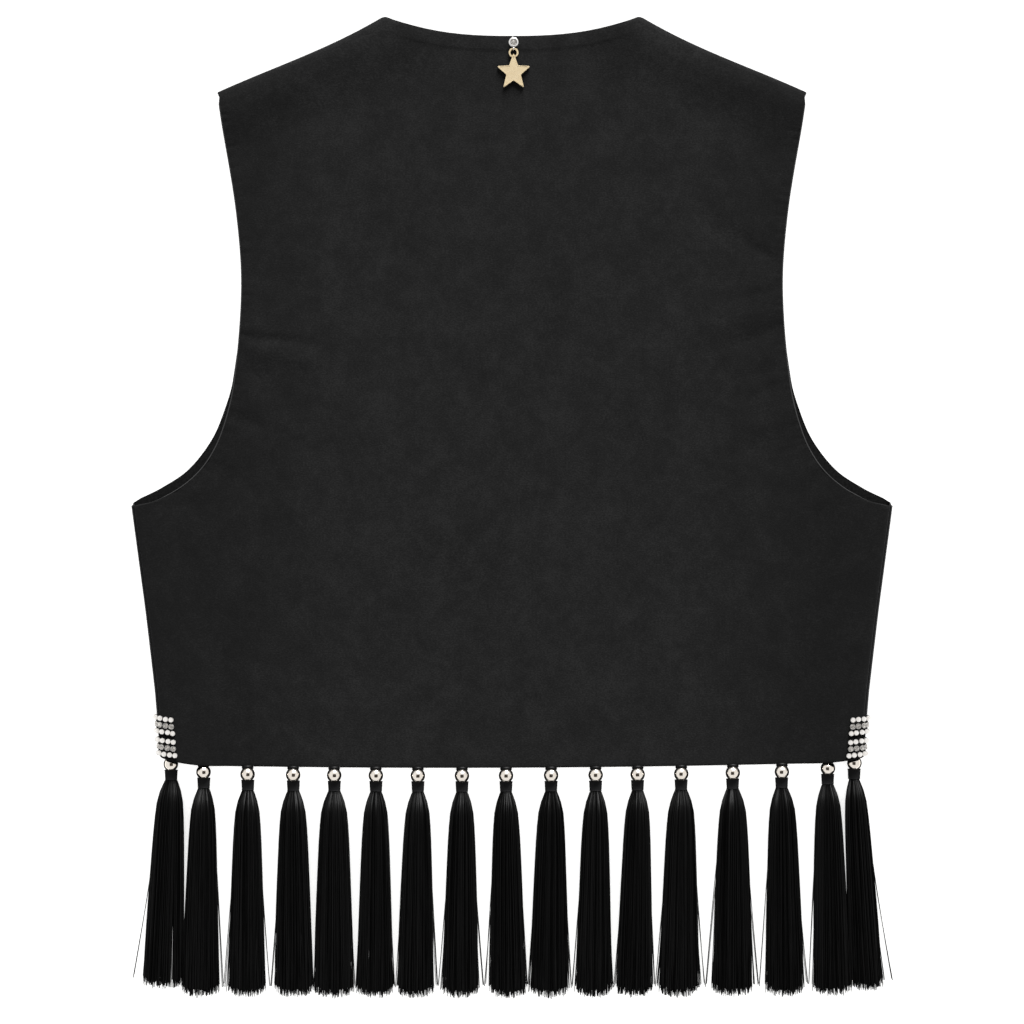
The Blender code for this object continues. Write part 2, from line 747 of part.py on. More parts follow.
def main():
    clear_scene()
    garment = add_empty("gilet")
    add_object("back", make_back, "black cloth", garment)
    for side, word in ((-1, "left"), (1, "right")):
        add_object(f"front_{word}", lambda shape: make_front(shape, side), "black cloth", garment)
        for level, middle in BAND_MIDDLES.items():
            name = f"band_{word}_{level}"
            add_object(name, lambda shape: make_band(shape, side, middle), "pearl", garment)
    for number, tassel in enumerate(TASSELS, 1):
        place = ball_place(tassel)
        add_object(f"bead_{number:02d}", make_ball, "polished steel", garment, place)
        hang = Vector((place.x, place.y - BALL_RADIUS - SEAM_GAP, 0))
        name = f"tassel_{number:02d}"
        add_object(name, lambda shape: make_tassel(shape, tassel), "black thread", garment, hang)
    add_charm(garment)


main()
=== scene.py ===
import json
import math

import bmesh
import bpy
import numpy as np
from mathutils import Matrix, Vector, kdtree
from mathutils.geometry import interpolate_bezier

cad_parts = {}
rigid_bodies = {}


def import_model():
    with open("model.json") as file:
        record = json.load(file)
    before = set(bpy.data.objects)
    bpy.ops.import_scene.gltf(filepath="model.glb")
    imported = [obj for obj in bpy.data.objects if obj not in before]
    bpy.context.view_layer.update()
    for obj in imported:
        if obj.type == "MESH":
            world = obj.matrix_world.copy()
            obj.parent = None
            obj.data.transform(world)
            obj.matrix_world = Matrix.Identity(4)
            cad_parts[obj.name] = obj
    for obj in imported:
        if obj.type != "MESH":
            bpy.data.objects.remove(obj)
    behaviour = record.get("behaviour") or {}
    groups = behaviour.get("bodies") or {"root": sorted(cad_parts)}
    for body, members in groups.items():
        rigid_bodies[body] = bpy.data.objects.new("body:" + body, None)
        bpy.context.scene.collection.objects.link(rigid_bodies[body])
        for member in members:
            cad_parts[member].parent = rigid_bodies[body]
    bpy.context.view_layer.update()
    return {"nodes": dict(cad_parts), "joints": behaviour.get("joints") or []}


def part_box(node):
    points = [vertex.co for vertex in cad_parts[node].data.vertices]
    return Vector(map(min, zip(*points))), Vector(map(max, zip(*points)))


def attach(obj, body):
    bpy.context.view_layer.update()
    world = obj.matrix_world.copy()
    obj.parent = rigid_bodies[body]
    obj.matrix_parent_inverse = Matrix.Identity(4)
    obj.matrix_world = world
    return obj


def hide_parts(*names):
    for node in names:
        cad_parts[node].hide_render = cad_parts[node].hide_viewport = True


# A black cropped gilet laid flat, back up: suede-touch cloth, a hem of nickel balls and tassels,
# beaded tapes round the side folds and a star charm at the back neck. Metres, in the frame's axes.

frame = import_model()
mm = 0.001
dice = np.random.default_rng(17)
print("frame loaded:", len(frame["nodes"]), "nodes")


# helpers for materials

def linear(hexText):
    parts = [int(hexText[i:i + 2], 16) / 255 for i in (1, 3, 5)]
    return [p / 12.92 if p <= 0.04045 else ((p + 0.055) / 1.055) ** 2.4 for p in parts] + [1.0]


def wire(node, links):
    for key, source in links.items():
        # a node stands for its first output
        socket = source.outputs[0] if isinstance(source, bpy.types.Node) else source
        node.id_data.links.new(socket, node.inputs[key])


def addNode(tree, kind, settings=None, links=None):
    node = tree.nodes.new("ShaderNode" + kind)
    for key, value in (settings or {}).items():
        if key == "stops":  # colour ramp stops as (place, hex)
            while len(node.color_ramp.elements) < len(value):
                node.color_ramp.elements.new(1.0)
            for element, (place, hexText) in zip(node.color_ramp.elements, value):
                element.position = place
                element.color = linear(hexText)
        elif isinstance(key, int) or key in node.inputs:
            node.inputs[key].default_value = value
        else:
            setattr(node, key, value)
    wire(node, links or {})
    return node


def startMaterial(name, settings):
    material = bpy.data.materials.new(name)
    material.use_nodes = True
    tree = material.node_tree
    shader = tree.nodes["Principled BSDF"]
    for key, value in settings.items():
        shader.inputs[key].default_value = value
    place = addNode(tree, "TexCoord").outputs["Object"]
    return material, tree, shader, place


def suedeCloth(name, stops):
    # brushed polyester suede, dyed black: matt, with a short nap in cloudy patches, and painted shade that
    # darkens it towards the sides
    look = {"patchMm": 18, "cloudMm": 5, "grainMm": 1.2, "cloudShare": 0.55, "grainShare": 2.2,
            "sideShadeMm": (115, 200), "paintedSideShade": -0.13}
    material, tree, shader, place = startMaterial(name, {
        "Roughness": 0.92, "Specular IOR Level": 0.10,
        "Sheen Weight": 0.07, "Sheen Roughness": 0.45, "Sheen Tint": linear("#b9b9bd")})
    patch = addNode(tree, "TexNoise", {"Scale": 1 / (look["patchMm"] * mm), "Detail": 3.0, "Roughness": 0.6,
                                       "Distortion": 0.4}, {"Vector": place})
    cloud = addNode(tree, "TexNoise", {"Scale": 1 / (look["cloudMm"] * mm), "Detail": 2.0}, {"Vector": place})
    # the real nap is about 0.3 mm, drawn coarser so that it shows at a step's distance
    combed = addNode(tree, "Mapping", {"Scale": (1.0, 1.5, 1.0)}, {"Vector": place})
    grain = addNode(tree, "TexNoise", {"Scale": 1 / (look["grainMm"] * mm), "Detail": 2.0, "Roughness": 0.7},
                    {"Vector": combed})
    soft = addNode(tree, "Math", {"operation": "MULTIPLY_ADD", 1: look["cloudShare"]}, {0: cloud, 2: patch})
    tone = addNode(tree, "Math", {"operation": "MULTIPLY_ADD", 1: look["grainShare"]}, {0: grain, 2: soft})
    axes = addNode(tree, "SeparateXYZ", {}, {"Vector": place})
    out = addNode(tree, "Math", {"operation": "ABSOLUTE"}, {0: axes})
    # painted shade: the tone drops between two distances out from the middle
    near, far = (v * mm for v in look["sideShadeMm"])
    side = addNode(tree, "MapRange", {"From Min": near, "From Max": far, "To Max": look["paintedSideShade"]},
                   {"Value": out})
    allShares = 1 + look["cloudShare"] + look["grainShare"]
    even = addNode(tree, "Math", {"operation": "MULTIPLY_ADD", 1: 1 / allShares}, {0: tone, 2: side})
    ramp = addNode(tree, "ValToRGB", {"stops": stops}, {"Fac": even})
    bump = addNode(tree, "Bump", {"Strength": 0.5, "Distance": 0.2 * mm}, {"Height": grain})
    wire(shader, {"Base Color": ramp, "Normal": bump})
    return material


def shadedInside():
    # the inside of the same cloth, flatter and darker: painted shade for the strip of front seen in the
    # armholes
    weaveMm = 1.4
    material, tree, shader, place = startMaterial("black cloth, unbrushed side", {
        "Roughness": 0.85, "Specular IOR Level": 0.02})
    weave = addNode(tree, "TexNoise", {"Scale": 1 / (weaveMm * mm), "Detail": 2.0}, {"Vector": place})
    ramp = addNode(tree, "ValToRGB", {"stops": ((0.35, "#080808"), (0.65, "#0e0e0e"))}, {"Fac": weave})
    wire(shader, {"Base Color": ramp})
    return material


def satinThread():
    # spun rayon tassel thread, black: satin, with long fine streaks along the strands
    strandMm, streakMm = 0.7, 60
    material, tree, shader, place = startMaterial("black rayon thread", {
        "Roughness": 0.46, "Specular IOR Level": 0.08})
    fine, long = 1 / (strandMm * mm), 1 / (streakMm * mm)
    along = addNode(tree, "Mapping", {"Scale": (fine, long, fine)}, {"Vector": place})
    streak = addNode(tree, "TexNoise", {"Scale": 1.0, "Detail": 2.0}, {"Vector": along})
    ramp = addNode(tree, "ValToRGB", {"stops": ((0.30, "#010101"), (0.70, "#050505"))}, {"Fac": streak})
    rough = addNode(tree, "MapRange", {"To Min": 0.40, "To Max": 0.52}, {"Value": streak})
    wire(shader, {"Base Color": ramp, "Roughness": rough})
    return material


def ribbedRibbon(name, stops):
    # grosgrain, black: dull, with fine cross ribs
    ribMm = 0.5
    wavePeriod = 0.314  # metres between the wave texture's bands at scale 1
    material, tree, shader, place = startMaterial(name, {"Roughness": 0.6, "Specular IOR Level": 0.08})
    wave = addNode(tree, "TexWave", {"bands_direction": "Y", "Scale": wavePeriod / (ribMm * mm),
                                     "Distortion": 0.6, "Detail": 1.0}, {"Vector": place})
    rib = wave.outputs["Fac"]
    ramp = addNode(tree, "ValToRGB", {"stops": stops}, {"Fac": rib})
    bump = addNode(tree, "Bump", {"Strength": 0.5, "Distance": 0.06 * mm}, {"Height": rib})
    wire(shader, {"Base Color": ramp, "Normal": bump})
    return material


def platedMetal(name, stops, roughness, spread):
    # electroplated and tumbled: clear reflections, clouded a little by handling
    handlingMm = 2.2
    material, tree, shader, place = startMaterial(name, {"Metallic": 1.0})
    cloud = addNode(tree, "TexNoise", {"Scale": 1 / (handlingMm * mm), "Detail": 3.0}, {"Vector": place})
    ramp = addNode(tree, "ValToRGB", {"stops": stops}, {"Fac": cloud})
    rough = addNode(tree, "MapRange", {"To Min": roughness - spread, "To Max": roughness + spread},
                    {"Value": cloud})
    wire(shader, {"Base Color": ramp, "Roughness": rough})
    return material


def pearlBead():
    # pearl-coated acrylic: white with a warm tint and a clear wet gloss
    tintMm = 1.6
    material, tree, shader, place = startMaterial("white pearl acrylic", {
        "Roughness": 0.22, "IOR": 1.49, "Coat Weight": 0.5, "Coat Roughness": 0.08})
    tint = addNode(tree, "TexNoise", {"Scale": 1 / (tintMm * mm), "Detail": 1.0}, {"Vector": place})
    ramp = addNode(tree, "ValToRGB", {"stops": ((0.35, "#f4efe9"), (0.65, "#fdfbf8"))}, {"Fac": tint})
    wire(shader, {"Base Color": ramp})
    return material


def cutStone():
    # foil-backed cut glass: grey from above, with each facet a tone of its own
    facetMm = 1.1
    material, tree, shader, place = startMaterial("clear cut glass on foil", {
        "Roughness": 0.12, "IOR": 1.55, "Metallic": 0.2})
    facet = addNode(tree, "TexVoronoi", {"Scale": 1 / (facetMm * mm)}, {"Vector": place})
    stops = ((0.1, "#6a6763"), (0.5, "#b4b0ab"), (0.9, "#e6e2db"))
    ramp = addNode(tree, "ValToRGB", {"stops": stops}, {"Fac": facet})
    wire(shader, {"Base Color": ramp})
    return material


clothLook = suedeCloth("black suede-touch cloth", ((0.26, "#010101"), (0.39, "#040404"), (0.50, "#090909"),
                                                   (0.61, "#111111")))
# painted highlight: a lighter copy of the cloth for the turned armhole edges
edgeHighlightLook = suedeCloth("suede-touch cloth, rubbed edge", ((0.3, "#1b1b1b"), (0.7, "#262626")))
shadedInsideLook = shadedInside()
threadLook = satinThread()
ribbonLook = ribbedRibbon("black grosgrain ribbon", ((0.35, "#0c0c0d"), (0.65, "#131314")))
tapeLook = ribbedRibbon("black bead tape", ((0.35, "#020202"), (0.65, "#050505")))  # shaded under its beads
nickelLook = platedMetal("polished nickel plate", ((0.3, "#efe6da"), (0.7, "#f8f1e8")), 0.13, 0.03)
silverLook = platedMetal("silver-coloured plate", ((0.3, "#d6d4d1"), (0.7, "#e8e6e3")), 0.30, 0.04)
goldLook = platedMetal("pale gold plate", ((0.3, "#f3ddb4"), (0.7, "#fbe7c0")), 0.36, 0.05)
pearlLook = pearlBead()
stoneLook = cutStone()
print("materials made")


# helpers for shapes

sharpFrom = math.radians(50)  # edges that bend more than this stay sharp


def addPiece(name, points, faces, look, body, slot, stands=(), smooth=True, inside=None):
    mesh = bpy.data.meshes.new(name)
    corners = np.asarray(points, float).reshape(-1, 3).tolist()
    mesh.from_pydata(corners, [], [list(map(int, face)) for face in faces])
    shape = bmesh.new()
    shape.from_mesh(mesh)
    bmesh.ops.recalc_face_normals(shape, faces=shape.faces)
    shape.to_mesh(mesh)
    shape.free()
    mesh.materials.append(look)
    if inside:  # the second run of a shell's faces is its inner side
        mesh.materials.append(inside[0])
        for face in mesh.polygons[inside[1]:2 * inside[1]]:
            face.material_index = 1
    if smooth:
        mesh.shade_smooth()
        mesh.set_sharp_from_angle(angle=sharpFrom)
    piece = bpy.data.objects.new(name, mesh)
    bpy.context.scene.collection.objects.link(piece)
    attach(piece, body)
    if stands:
        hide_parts(*stands)
    return piece


def quads(index, roundColumns=True, roundRows=False):
    # faces between the neighbours in a grid of point numbers, closed round where asked
    if roundColumns:
        index = np.concatenate((index, index[:, :1]), axis=1)
    if roundRows:
        index = np.concatenate((index, index[:1]))
    faces = np.stack((index[:-1, :-1], index[:-1, 1:], index[1:, 1:], index[1:, :-1]), axis=-1)
    return faces.reshape(-1, 4)


def turned(profile, steps, axis="z", ring=False, size=1.0):
    # points and faces turned from (radius, height); a ring's profile closes on itself, others get end caps
    profile = np.array(profile) * size
    turns = np.linspace(0, 2 * math.pi, steps, endpoint=False)
    radius, height = profile[:, 0][:, None], np.repeat(profile[:, 1][:, None], steps, axis=1)
    a, b = radius * np.cos(turns), radius * np.sin(turns)
    points = np.stack((a, b, height) if axis == "z" else (a, height, b), axis=2).reshape(-1, 3)
    index = np.arange(len(points)).reshape(-1, steps)
    faces = [*quads(index, roundRows=ring)]
    if not ring:
        faces += [index[0], index[-1]]
    return points, faces


def beadProfile(radius, hole, steps):
    # half round, from one end of a bead's hole to the other
    start = math.asin(hole / radius)
    angles = np.linspace(start, math.pi - start, steps)
    return [(radius * math.sin(a), radius * math.cos(a)) for a in angles]


def joined(parts):
    # one list of points and faces from several
    points, faces, count = [], [], 0
    for partPoints, partFaces in parts:
        points.append(np.asarray(partPoints, float).reshape(-1, 3))
        faces += [tuple(n + count for n in face) for face in partFaces]
        count += len(points[-1])
    return np.concatenate(points), faces


def ease(share):
    # smooth step from 0 to 1
    held = np.clip(share, 0, 1)
    return held * held * (3 - 2 * held)


def rising(value, start, end):
    return ease((value - start) / (end - start))


def fade(share):
    # half a wave from 1 down to 0
    return 0.5 + 0.5 * np.cos(math.pi * np.clip(share, 0, 1))


def unit(vectors):
    return vectors / np.maximum(np.linalg.norm(vectors, axis=-1, keepdims=True), 1e-12)


# outline and folds of the laid gilet, the same sizes as its solids
gilet = {
    "cloth": 1.6 * mm,
    "flatTop": 3.7 * mm,
    "seamGap": 0.3 * mm,
    "halfLength": 303.2 * mm,
    "neckHalf": 79.7 * mm,
    "neckDip": 12.0 * mm,
    "neckPower": 2.45,
    "neckFill": 2.0 * mm,
    "neckFillRise": 0.4 * mm,
    "neckBlunt": 0.3 * mm,
    "shoulderHalf": 182.7 * mm,
    "shoulderY": 256.1 * mm,
    "shoulderSag": 2.2 * mm,
    "sagPeak": 6.75,
    "shoulderFold": 3.5 * mm,
    "shoulderSpread": 38 * mm,
    "underarmHalf": 235.6 * mm,
    "underarmFold": 5.0 * mm,
    "sideSpread": 45 * mm,
    "seamAngle": math.radians(45),
    "hemY": -162.3 * mm,
    "hemTilt": 0.0043,
    "hemBow": 0.0580,
    "hemHalf": 217.6 * mm,
    "hemCornerY": -155.6 * mm,
    "hemCornerRun": 34 * mm,
    "frontHemLift": 3.0 * mm,
    "frontEdge": 1.0 * mm,
    "frontNeckY": 118 * mm,
    "frontNeckPower": 0.85,
    # y, half width, fold radius in mm
    "sideLine": ((-155.6, 217.6, 6.2), (-115.3, 221.0, 6.0), (-65.7, 226.9, 5.6), (0.0, 235.6, 5.0)),
    # half width, y in mm
    "backArmhole": ((234.1, 0.0), (219.9, 3.7), (203.7, 12.9), (190.2, 26.5), (180.4, 45.3), (172.8, 75.6),
                    (167.9, 133.9), (170.9, 180.4), (179.8, 236.2), (182.7, 256.1)),
    "frontUnderarm": ((235.0, 1.2), (234.1, 2.5), (232.2, 3.7)),
    "frontArmhole": ((229.7, 5.0), (217.3, 11.2), (200.9, 22.3), (186.3, 40.9), (178.3, 59.5), (173.1, 78.1),
                     (166.9, 133.9), (169.9, 180.4), (178.9, 236.2), (182.7, 256.1)),
}
armholeTop = gilet["shoulderY"] - 2 * gilet["shoulderFold"]  # where the shoulder fold starts


def sideAt(y):
    ys, halves, folds = np.array(gilet["sideLine"]).T * mm
    return np.interp(y, ys, halves), np.interp(y, ys, folds)


def hemAt(x):
    def run(place):
        return gilet["hemY"] + gilet["hemTilt"] * place + gilet["hemBow"] * place ** 2

    pastBend = np.maximum(0, np.abs(x) - (gilet["hemHalf"] - gilet["hemCornerRun"])) / gilet["hemCornerRun"]
    return run(x) + (gilet["hemCornerY"] - run(np.copysign(gilet["hemHalf"], x))) * pastBend ** 2


def topAt(x):
    out = np.abs(x)
    neck = gilet["halfLength"] - gilet["neckDip"] * (1 - (out / gilet["neckHalf"]) ** gilet["neckPower"])
    inside = np.maximum(0, gilet["neckHalf"] - out) / gilet["neckFill"]
    neck = neck + gilet["neckFillRise"] * inside * np.exp(1 - inside)
    share = (out - gilet["neckHalf"]) / (gilet["shoulderHalf"] - gilet["neckHalf"])
    drop = share * (gilet["shoulderY"] - gilet["halfLength"])
    shoulder = gilet["halfLength"] + drop - gilet["shoulderSag"] * gilet["sagPeak"] * share * (1 - share) ** 2
    blunt = gilet["neckBlunt"] * fade(np.abs(out - gilet["neckHalf"]) / gilet["neckFill"])
    return np.where(out <= gilet["neckHalf"], neck, shoulder) - blunt


def acrossShoulder():
    run = Vector((gilet["shoulderHalf"] - gilet["neckHalf"], gilet["shoulderY"] - gilet["halfLength"]))
    along = run.normalized()
    return -along.y, along.x


def heightAt(x, y):
    # upper face of the back: flat, lifted towards the side folds and the shoulder folds
    out = np.abs(x)
    half, fold = sideAt(y)
    toSide = np.where(y <= 0, half - out, np.hypot(gilet["underarmHalf"] - out, y))
    sideLift = (2 * fold - gilet["flatTop"]) * fade((toSide - fold) / gilet["sideSpread"])
    up = acrossShoulder()[1]
    fromNeck = np.hypot(gilet["neckHalf"] - out, (gilet["halfLength"] - y) * up)
    fromTop = (topAt(np.minimum(out, gilet["shoulderHalf"])) - y) * up
    toShoulder = np.where(out < gilet["neckHalf"], fromNeck, fromTop)
    rise = 2 * gilet["shoulderFold"] - gilet["flatTop"]
    shoulderLift = rise * fade((toShoulder - gilet["shoulderFold"]) / gilet["shoulderSpread"])
    return gilet["flatTop"] + np.maximum(sideLift, shoulderLift)


def shoulderPoints(x, angle):
    across, up = acrossShoulder()
    fold = gilet["shoulderFold"]
    reach = fold * (math.cos(angle) - 1)
    return np.stack((x + np.sign(x) * across * reach, topAt(x) + up * reach,
                     np.full_like(x, fold * (1 + math.sin(angle)))), axis=-1)


def throughKnots(knots):
    stepsBetween = 24
    points = [Vector((x, y, 0)) * mm for x, y in knots]
    last = len(points) - 1
    slopes = [(points[min(i + 1, last)] - points[max(i - 1, 0)]).normalized() for i in range(last + 1)]
    line = [points[0]]
    for i in range(last):
        reach = (points[i + 1] - points[i]).length / 3
        line += interpolate_bezier(points[i], points[i] + slopes[i] * reach,
                                   points[i + 1] - slopes[i + 1] * reach, points[i + 1], stepsBetween)[1:]
    return np.array([p[:2] for p in line])


def spacedAlong(line, step):
    far = np.concatenate(([0], np.cumsum(np.linalg.norm(np.diff(line, axis=0), axis=1))))
    places = np.linspace(0, far[-1], max(2, round(far[-1] / step) + 1))
    return np.stack((np.interp(places, far, line[:, 0]), np.interp(places, far, line[:, 1])), axis=1)


def shellMesh(points, normals, thick, relief):
    # a closed wall of cloth from a grid of its outer points, with relief only on the outside
    rollOut = 0.8 * mm  # how far the edges round over
    rollTurns = np.radians((60, 20, -20, -60))
    rows, columns = points.shape[:2]
    outer = points + normals * relief[..., None]
    inner = points - normals * thick
    rim = [(0, j) for j in range(columns)] + [(i, columns - 1) for i in range(1, rows)]
    rim += [(rows - 1, j) for j in range(columns - 2, -1, -1)] + [(i, 0) for i in range(rows - 2, 0, -1)]
    i, j = np.array(rim).T
    way = points[i, j] - points[np.clip(i, 1, rows - 2), np.clip(j, 1, columns - 2)]
    normal = normals[i, j]
    way = unit(way - normal * np.sum(way * normal, axis=1, keepdims=True))
    middle = points[i, j] - normal * thick / 2 - way * rollOut
    outer[i, j] = middle + normal * thick / 2
    inner[i, j] = middle - normal * thick / 2
    loops = []
    for turn in rollTurns:
        loops.append(middle + way * rollOut * math.cos(turn) + normal * thick / 2 * math.sin(turn))
    size, count = rows * columns, len(rim)
    grid = np.arange(size).reshape(rows, columns)
    flat = quads(grid, roundColumns=False)
    chains = [grid[i, j]] + [2 * size + n * count + np.arange(count) for n in range(len(loops))]
    chains.append(grid[i, j] + size)
    allPoints = np.concatenate((outer.reshape(-1, 3), inner.reshape(-1, 3), *loops))
    return allPoints, np.concatenate((flat, flat + size, quads(np.array(chains))))


def gridNormals(points, up):
    normals = unit(np.cross(np.gradient(points, axis=1), np.gradient(points, axis=0)))
    middle = normals[points.shape[0] // 2, points.shape[1] // 2, 2]
    return normals * math.copysign(1, middle * up)


# the back, with its soft creases
back = {
    "rowStep": 0.72 * mm,
    "sideStep": 2.4 * mm,
    "roundSteps": 4,
    "flatSteps": 33,
    "edgeCrowding": 1.5,
    "neckColumns": (-6.5, -4.0, -2.0, -0.8, 0.4, 1.6, 3.5),  # mm from the neck point
    "columnGap": 0.006,  # least gap between these and the others, as a share of the half width
    "underarmBlend": 8 * mm,
    "shoulderSteps": 8,
    "neckBlend": 14 * mm,
    # puckers at the armholes: where they start, then least and most gap, depth, half width and reach
    "puckerStep": 0.5 * mm,
    "puckerStart": 8 * mm,
    "puckerGap": (2.6 * mm, 8.0 * mm),
    "puckerDepth": (0.06 * mm, 0.30 * mm),
    "puckerWide": (1.0 * mm, 1.9 * mm),
    "puckerReach": (5.0 * mm, 17.0 * mm),
    "highlightEnd": 8 * mm,  # below the shoulder
    "facing": 7.8 * mm,
    "facingStep": 2.8 * mm,
    "facingRise": 0.40 * mm,
    "neckSoft": 20 * mm,
    "neckRoll": 5.0 * mm,
    "neckRollDepth": 0.35 * mm,
    "shoulderRoll": 16.0 * mm,
    "shoulderRollDepth": 2.0 * mm,
    "shoulderWaves": (9 * mm, 23 * mm),
    "creasePast": 0.25,  # share of its length that a crease fades out past its ends
    "creaseWaver": 0.12,
    "creaseWaves": 7.0,
    # creases: from x, y, to x, y, half width, height in mm; a trough has a height below 0
    "creases": ((-170, 105.5, -124, 100.0, 3.4, -0.80), (-165, 99.5, -122, 87.0, 4.4, 0.60),
                (-167, 93.0, -146, 69.0, 6.0, -0.85), (-175, 58.0, -156, 47.5, 4.4, -0.75),
                (-189, 31.0, -172, 14.0, 5.0, -0.75), (-208, 9.0, -188, -6.0, 6.0, -0.60),
                (-138, 236.0, -122, 262.0, 9.0, -0.60), (-172, 248.0, -158, 258.0, 4.5, -0.50),
                (-150, 140.0, -118, 132.0, 7.0, -0.40), (-152, 206.0, -166, 190.0, 7.0, -0.40),
                (168, 112.0, 132, 98.0, 3.8, -0.80), (162, 121.0, 124, 110.0, 5.0, 0.50),
                (116, 181.0, 158, 152.0, 8.0, -0.90), (148, 162.0, 166, 150.0, 4.0, -0.60),
                (166, 89.0, 146, 79.0, 3.6, -0.70), (166, 75.5, 142, 64.0, 3.8, -0.65),
                (172, 50.0, 144, 32.0, 4.8, -0.80), (194, 22.0, 176, 6.0, 5.0, -0.70),
                (164, 134.0, 143, 128.0, 3.4, -0.50), (120, 240.0, 148, 252.0, 9.0, -0.60),
                (-60, -20.0, 10, -42.0, 16.0, 0.30), (40, 60.0, 96, 36.0, 18.0, -0.30)),
}


def creaseRelief(x, y):
    relief = np.zeros_like(x)
    for x0, y0, x1, y1, wide, high in np.array(back["creases"]) * mm:
        along = np.array((x1 - x0, y1 - y0))
        long = np.linalg.norm(along)
        along /= long
        way = (x - x0) * along[0] + (y - y0) * along[1]
        off = (y - y0) * along[0] - (x - x0) * along[1]
        off = off + back["creaseWaver"] * wide * np.sin(way / long * back["creaseWaves"])
        share = np.clip((way / long + back["creasePast"]) / (1 + 2 * back["creasePast"]), 0, 1)
        swell = np.sin(math.pi * share) ** 1.5
        relief += high * swell * np.exp(-(off / wide) ** 2)
    return relief


def edgeDistance(x, y, line):
    tree = kdtree.KDTree(len(line))
    for n, (a, b) in enumerate(line):
        tree.insert((a, b, 0), n)
    tree.balance()
    found = [tree.find((a, b, 0)) for a, b in zip(x.ravel(), y.ravel())]
    near = np.array([place for _, place, _ in found]).reshape(x.shape)
    return np.array([gap for _, _, gap in found]).reshape(x.shape), near


def backGrid():
    crowded = 1 - (np.arange(back["flatSteps"] + 1) / back["flatSteps"]) ** back["edgeCrowding"]
    nearNeck = gilet["neckHalf"] + np.array(back["neckColumns"]) * mm
    nearNeck /= gilet["shoulderHalf"] - gilet["underarmFold"] * math.cos(gilet["seamAngle"])
    apart = np.abs(crowded[:, None] - nearNeck).min(axis=1) > back["columnGap"]
    crowded = np.sort(np.concatenate((crowded[apart], nearNeck)))[::-1]
    thetas = np.linspace(gilet["seamAngle"], math.pi / 2, back["roundSteps"] + 1)[:-1]
    inset = math.cos(gilet["seamAngle"]) - np.cos(thetas)
    side = np.linspace(gilet["hemCornerY"], 0, round(-gilet["hemCornerY"] / back["sideStep"]))
    half, fold = sideAt(side)
    seam = gilet["seamAngle"] + gilet["seamGap"] / 2 / fold
    rows = [(h - f + f * math.cos(s), y, f, True) for h, f, s, y in zip(half, fold, seam, side)]
    line = throughKnots(gilet["backArmhole"])
    line = line[line[:, 1] <= armholeTop]
    rows += [(x, y, gilet["underarmFold"], False) for x, y in spacedAlong(line, back["rowStep"])[1:]]

    def columns(edge, fold):
        return np.concatenate((edge - fold * inset, crowded * (edge - fold * math.cos(gilet["seamAngle"]))))

    topX = columns(gilet["shoulderHalf"], gilet["underarmFold"])
    grid = []
    for edge, edgeY, fold, onSide in rows:
        x = columns(edge, fold)
        bow, hang = ease(edgeY / armholeTop), ease(edgeY / gilet["hemCornerY"])
        held = 1.0 if onSide else 1 - ease(edgeY / back["underarmBlend"])
        halves = []
        for sign in (-1, 1):
            fall = hang * (hemAt(sign * x) - gilet["hemCornerY"])
            y = edgeY + bow * (topAt(topX) - gilet["shoulderY"]) + fall
            z = heightAt(x, y)
            z[:len(thetas)] -= held * fold * (1 - np.sin(thetas))
            halves.append(np.stack((sign * x, y, z), axis=1))
        grid.append(np.concatenate((halves[0], halves[1][-2::-1])))
    seam = gilet["seamGap"] / 2 / gilet["shoulderFold"]
    for angle in np.linspace(math.pi / 2, seam, back["shoulderSteps"]):
        halves = []
        below = gilet["shoulderFold"] * (1 - math.cos(angle))
        for sign in (-1, 1):
            rolled = shoulderPoints(sign * topX, angle)
            flatY = topAt(topX) - below
            flat = np.stack((sign * topX, flatY, heightAt(topX, flatY)), axis=1)
            share = ease((topX - gilet["neckHalf"] + back["neckBlend"]) / back["neckBlend"])[:, None]
            halves.append(flat * (1 - share) + rolled * share)
        grid.append(np.concatenate((halves[0], halves[1][-2::-1])))
    return np.array(grid), line


